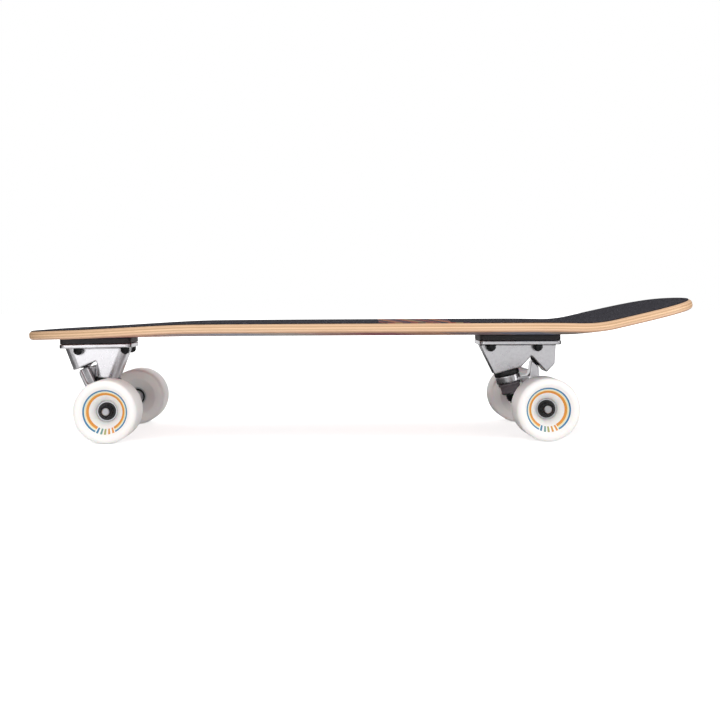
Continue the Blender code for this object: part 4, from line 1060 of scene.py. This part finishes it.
# %% Cards
BLACK_CARD = surface_of("black card", "141414", 0.9)[0]
GREY_CARD = surface_of("grey card", "a0a0a0", 0.9)[0]
NEAR, HALFWAY, BESIDE, FAR = -1.3, -0.7, -0.12, 1.2
LOW_CARD, TALL_CARD = 0.4, 0.6


def card(name, finish, *corners):
    """A card beside the set, which the camera can't see."""
    bm = bmesh.new()
    bm.faces.new([bm.verts.new(corner) for corner in corners])
    mesh = mesh_of(bm, name)
    board = put(name, mesh)
    mesh.materials.append(finish)
    board.visible_camera = False
    board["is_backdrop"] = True
    return board


def standing_card(name, finish, x, low, high, height):
    """A card that stands on the floor, along Y."""
    return card(name, finish, (x, low, 0), (x, high, 0), (x, high, height), (x, low, height))


def lying_card(name, finish, left, right, low=-0.3, high=0.6, height=2 * MM):
    """A card just above the floor."""
    return card(name, finish, *((x, y, height) for x, y in
                                ((left, low), (right, low), (right, high), (left, high))))


for name, x in (("left_card", -0.62), ("right_card", 0.62)):
    standing_card(name, BLACK_CARD, x, BESIDE, FAR, LOW_CARD)
reflected = (lying_card("left_floor_card", GREY_CARD, -1.2, -0.42),
             lying_card("middle_floor_card", BLACK_CARD, -0.06, 0.185),
             lying_card("right_floor_card", BLACK_CARD, 0.25, 1.2),
             standing_card("front_left_card", BLACK_CARD, -1.0, NEAR, HALFWAY, TALL_CARD),
             standing_card("side_left_card", GREY_CARD, -1.0, HALFWAY, BESIDE, TALL_CARD),
             standing_card("front_right_card", GREY_CARD, 1.0, NEAR, BESIDE, TALL_CARD))
for board in reflected:
    board.visible_diffuse = board.visible_shadow = board.visible_transmission = False
print("cards that only reflections show:", len(reflected))

# %% [markdown]
# Four large soft lamps: one in front and to the left, which also brightens the front truck, a low
# one behind the camera that reaches under the board, a broad one overhead for the grip, and a
# weak one from the right. The low one would show as a streak in the castings, so it is kept out
# of reflections.

# %% Lamps
LAMPS = (("front left", (-0.62, -1.45, 0.2), (0.4, 0.5), 1.3),
         ("front fill", (0.0, -1.5, 0.18), (1.8, 0.35), 2.6),
         ("overhead", (0.1, -0.1, 1.8), (2.0, 1.4), 4.0),
         ("right", (0.85, -0.3, 0.3), (0.2, 0.6), 1.0))
AIM = Vector((0.0, 0.0, 0.08))
for name, place, size, watts in LAMPS:
    light = bpy.data.lights.new(name, "AREA")
    light.shape = "RECTANGLE"
    light.size, light.size_y = size
    light.energy = watts
    lamp = put(name, light)
    lamp.location = place
    lamp.visible_glossy = name != "front fill"
    lamp.rotation_euler = (AIM - Vector(place)).to_track_quat("-Z", "Y").to_euler()
print("lamps:", len(LAMPS))

# %% [markdown]
# The camera looks straight across the board from a little above. Its place, lens and shift were
# fitted to the nuts, the wheels and the ends of the deck in a square picture, 720 pixels wide.

# %% Camera
IMAGE_WIDTH = 720
LENS_PIXELS = 1104.66
MIDDLE_PIXEL = (345.55, 330.5)
CAMERA_PLACE = Vector((-0.0281, -1.2876, 0.1508))
YAW, PITCH, ROLL = -0.01201, -0.02661, -0.0043
camera = bpy.data.cameras.new("camera")
camera.sensor_width = 36.0
camera.lens = camera.sensor_width * LENS_PIXELS / IMAGE_WIDTH
camera.shift_x = (IMAGE_WIDTH / 2 - MIDDLE_PIXEL[0]) / IMAGE_WIDTH
camera.shift_y = (MIDDLE_PIXEL[1] - IMAGE_WIDTH / 2) / IMAGE_WIDTH
camera.clip_start, camera.clip_end = 0.05, 50
eye = put("camera", camera)
eye.matrix_world = (Matrix.Translation(CAMERA_PLACE) @ Matrix.Rotation(YAW, 4, "Z")
                    @ Matrix.Rotation(pi / 2 + PITCH, 4, "X") @ Matrix.Rotation(ROLL, 4, "Z"))
bpy.context.scene.camera = eye
bpy.context.scene.view_settings.view_transform = "Standard"
print("lens", round(camera.lens, 2), "mm")

# %% Compare the boxes and finish
visual_box = [list(corner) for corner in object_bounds()]
proud = [max(cad_box[0][i] - visual_box[0][i], visual_box[1][i] - cad_box[1][i]) / MM
         for i in range(3)]
print("the dressed board stands proud of the frame by", [round(v, 2) for v in proud], "mm")
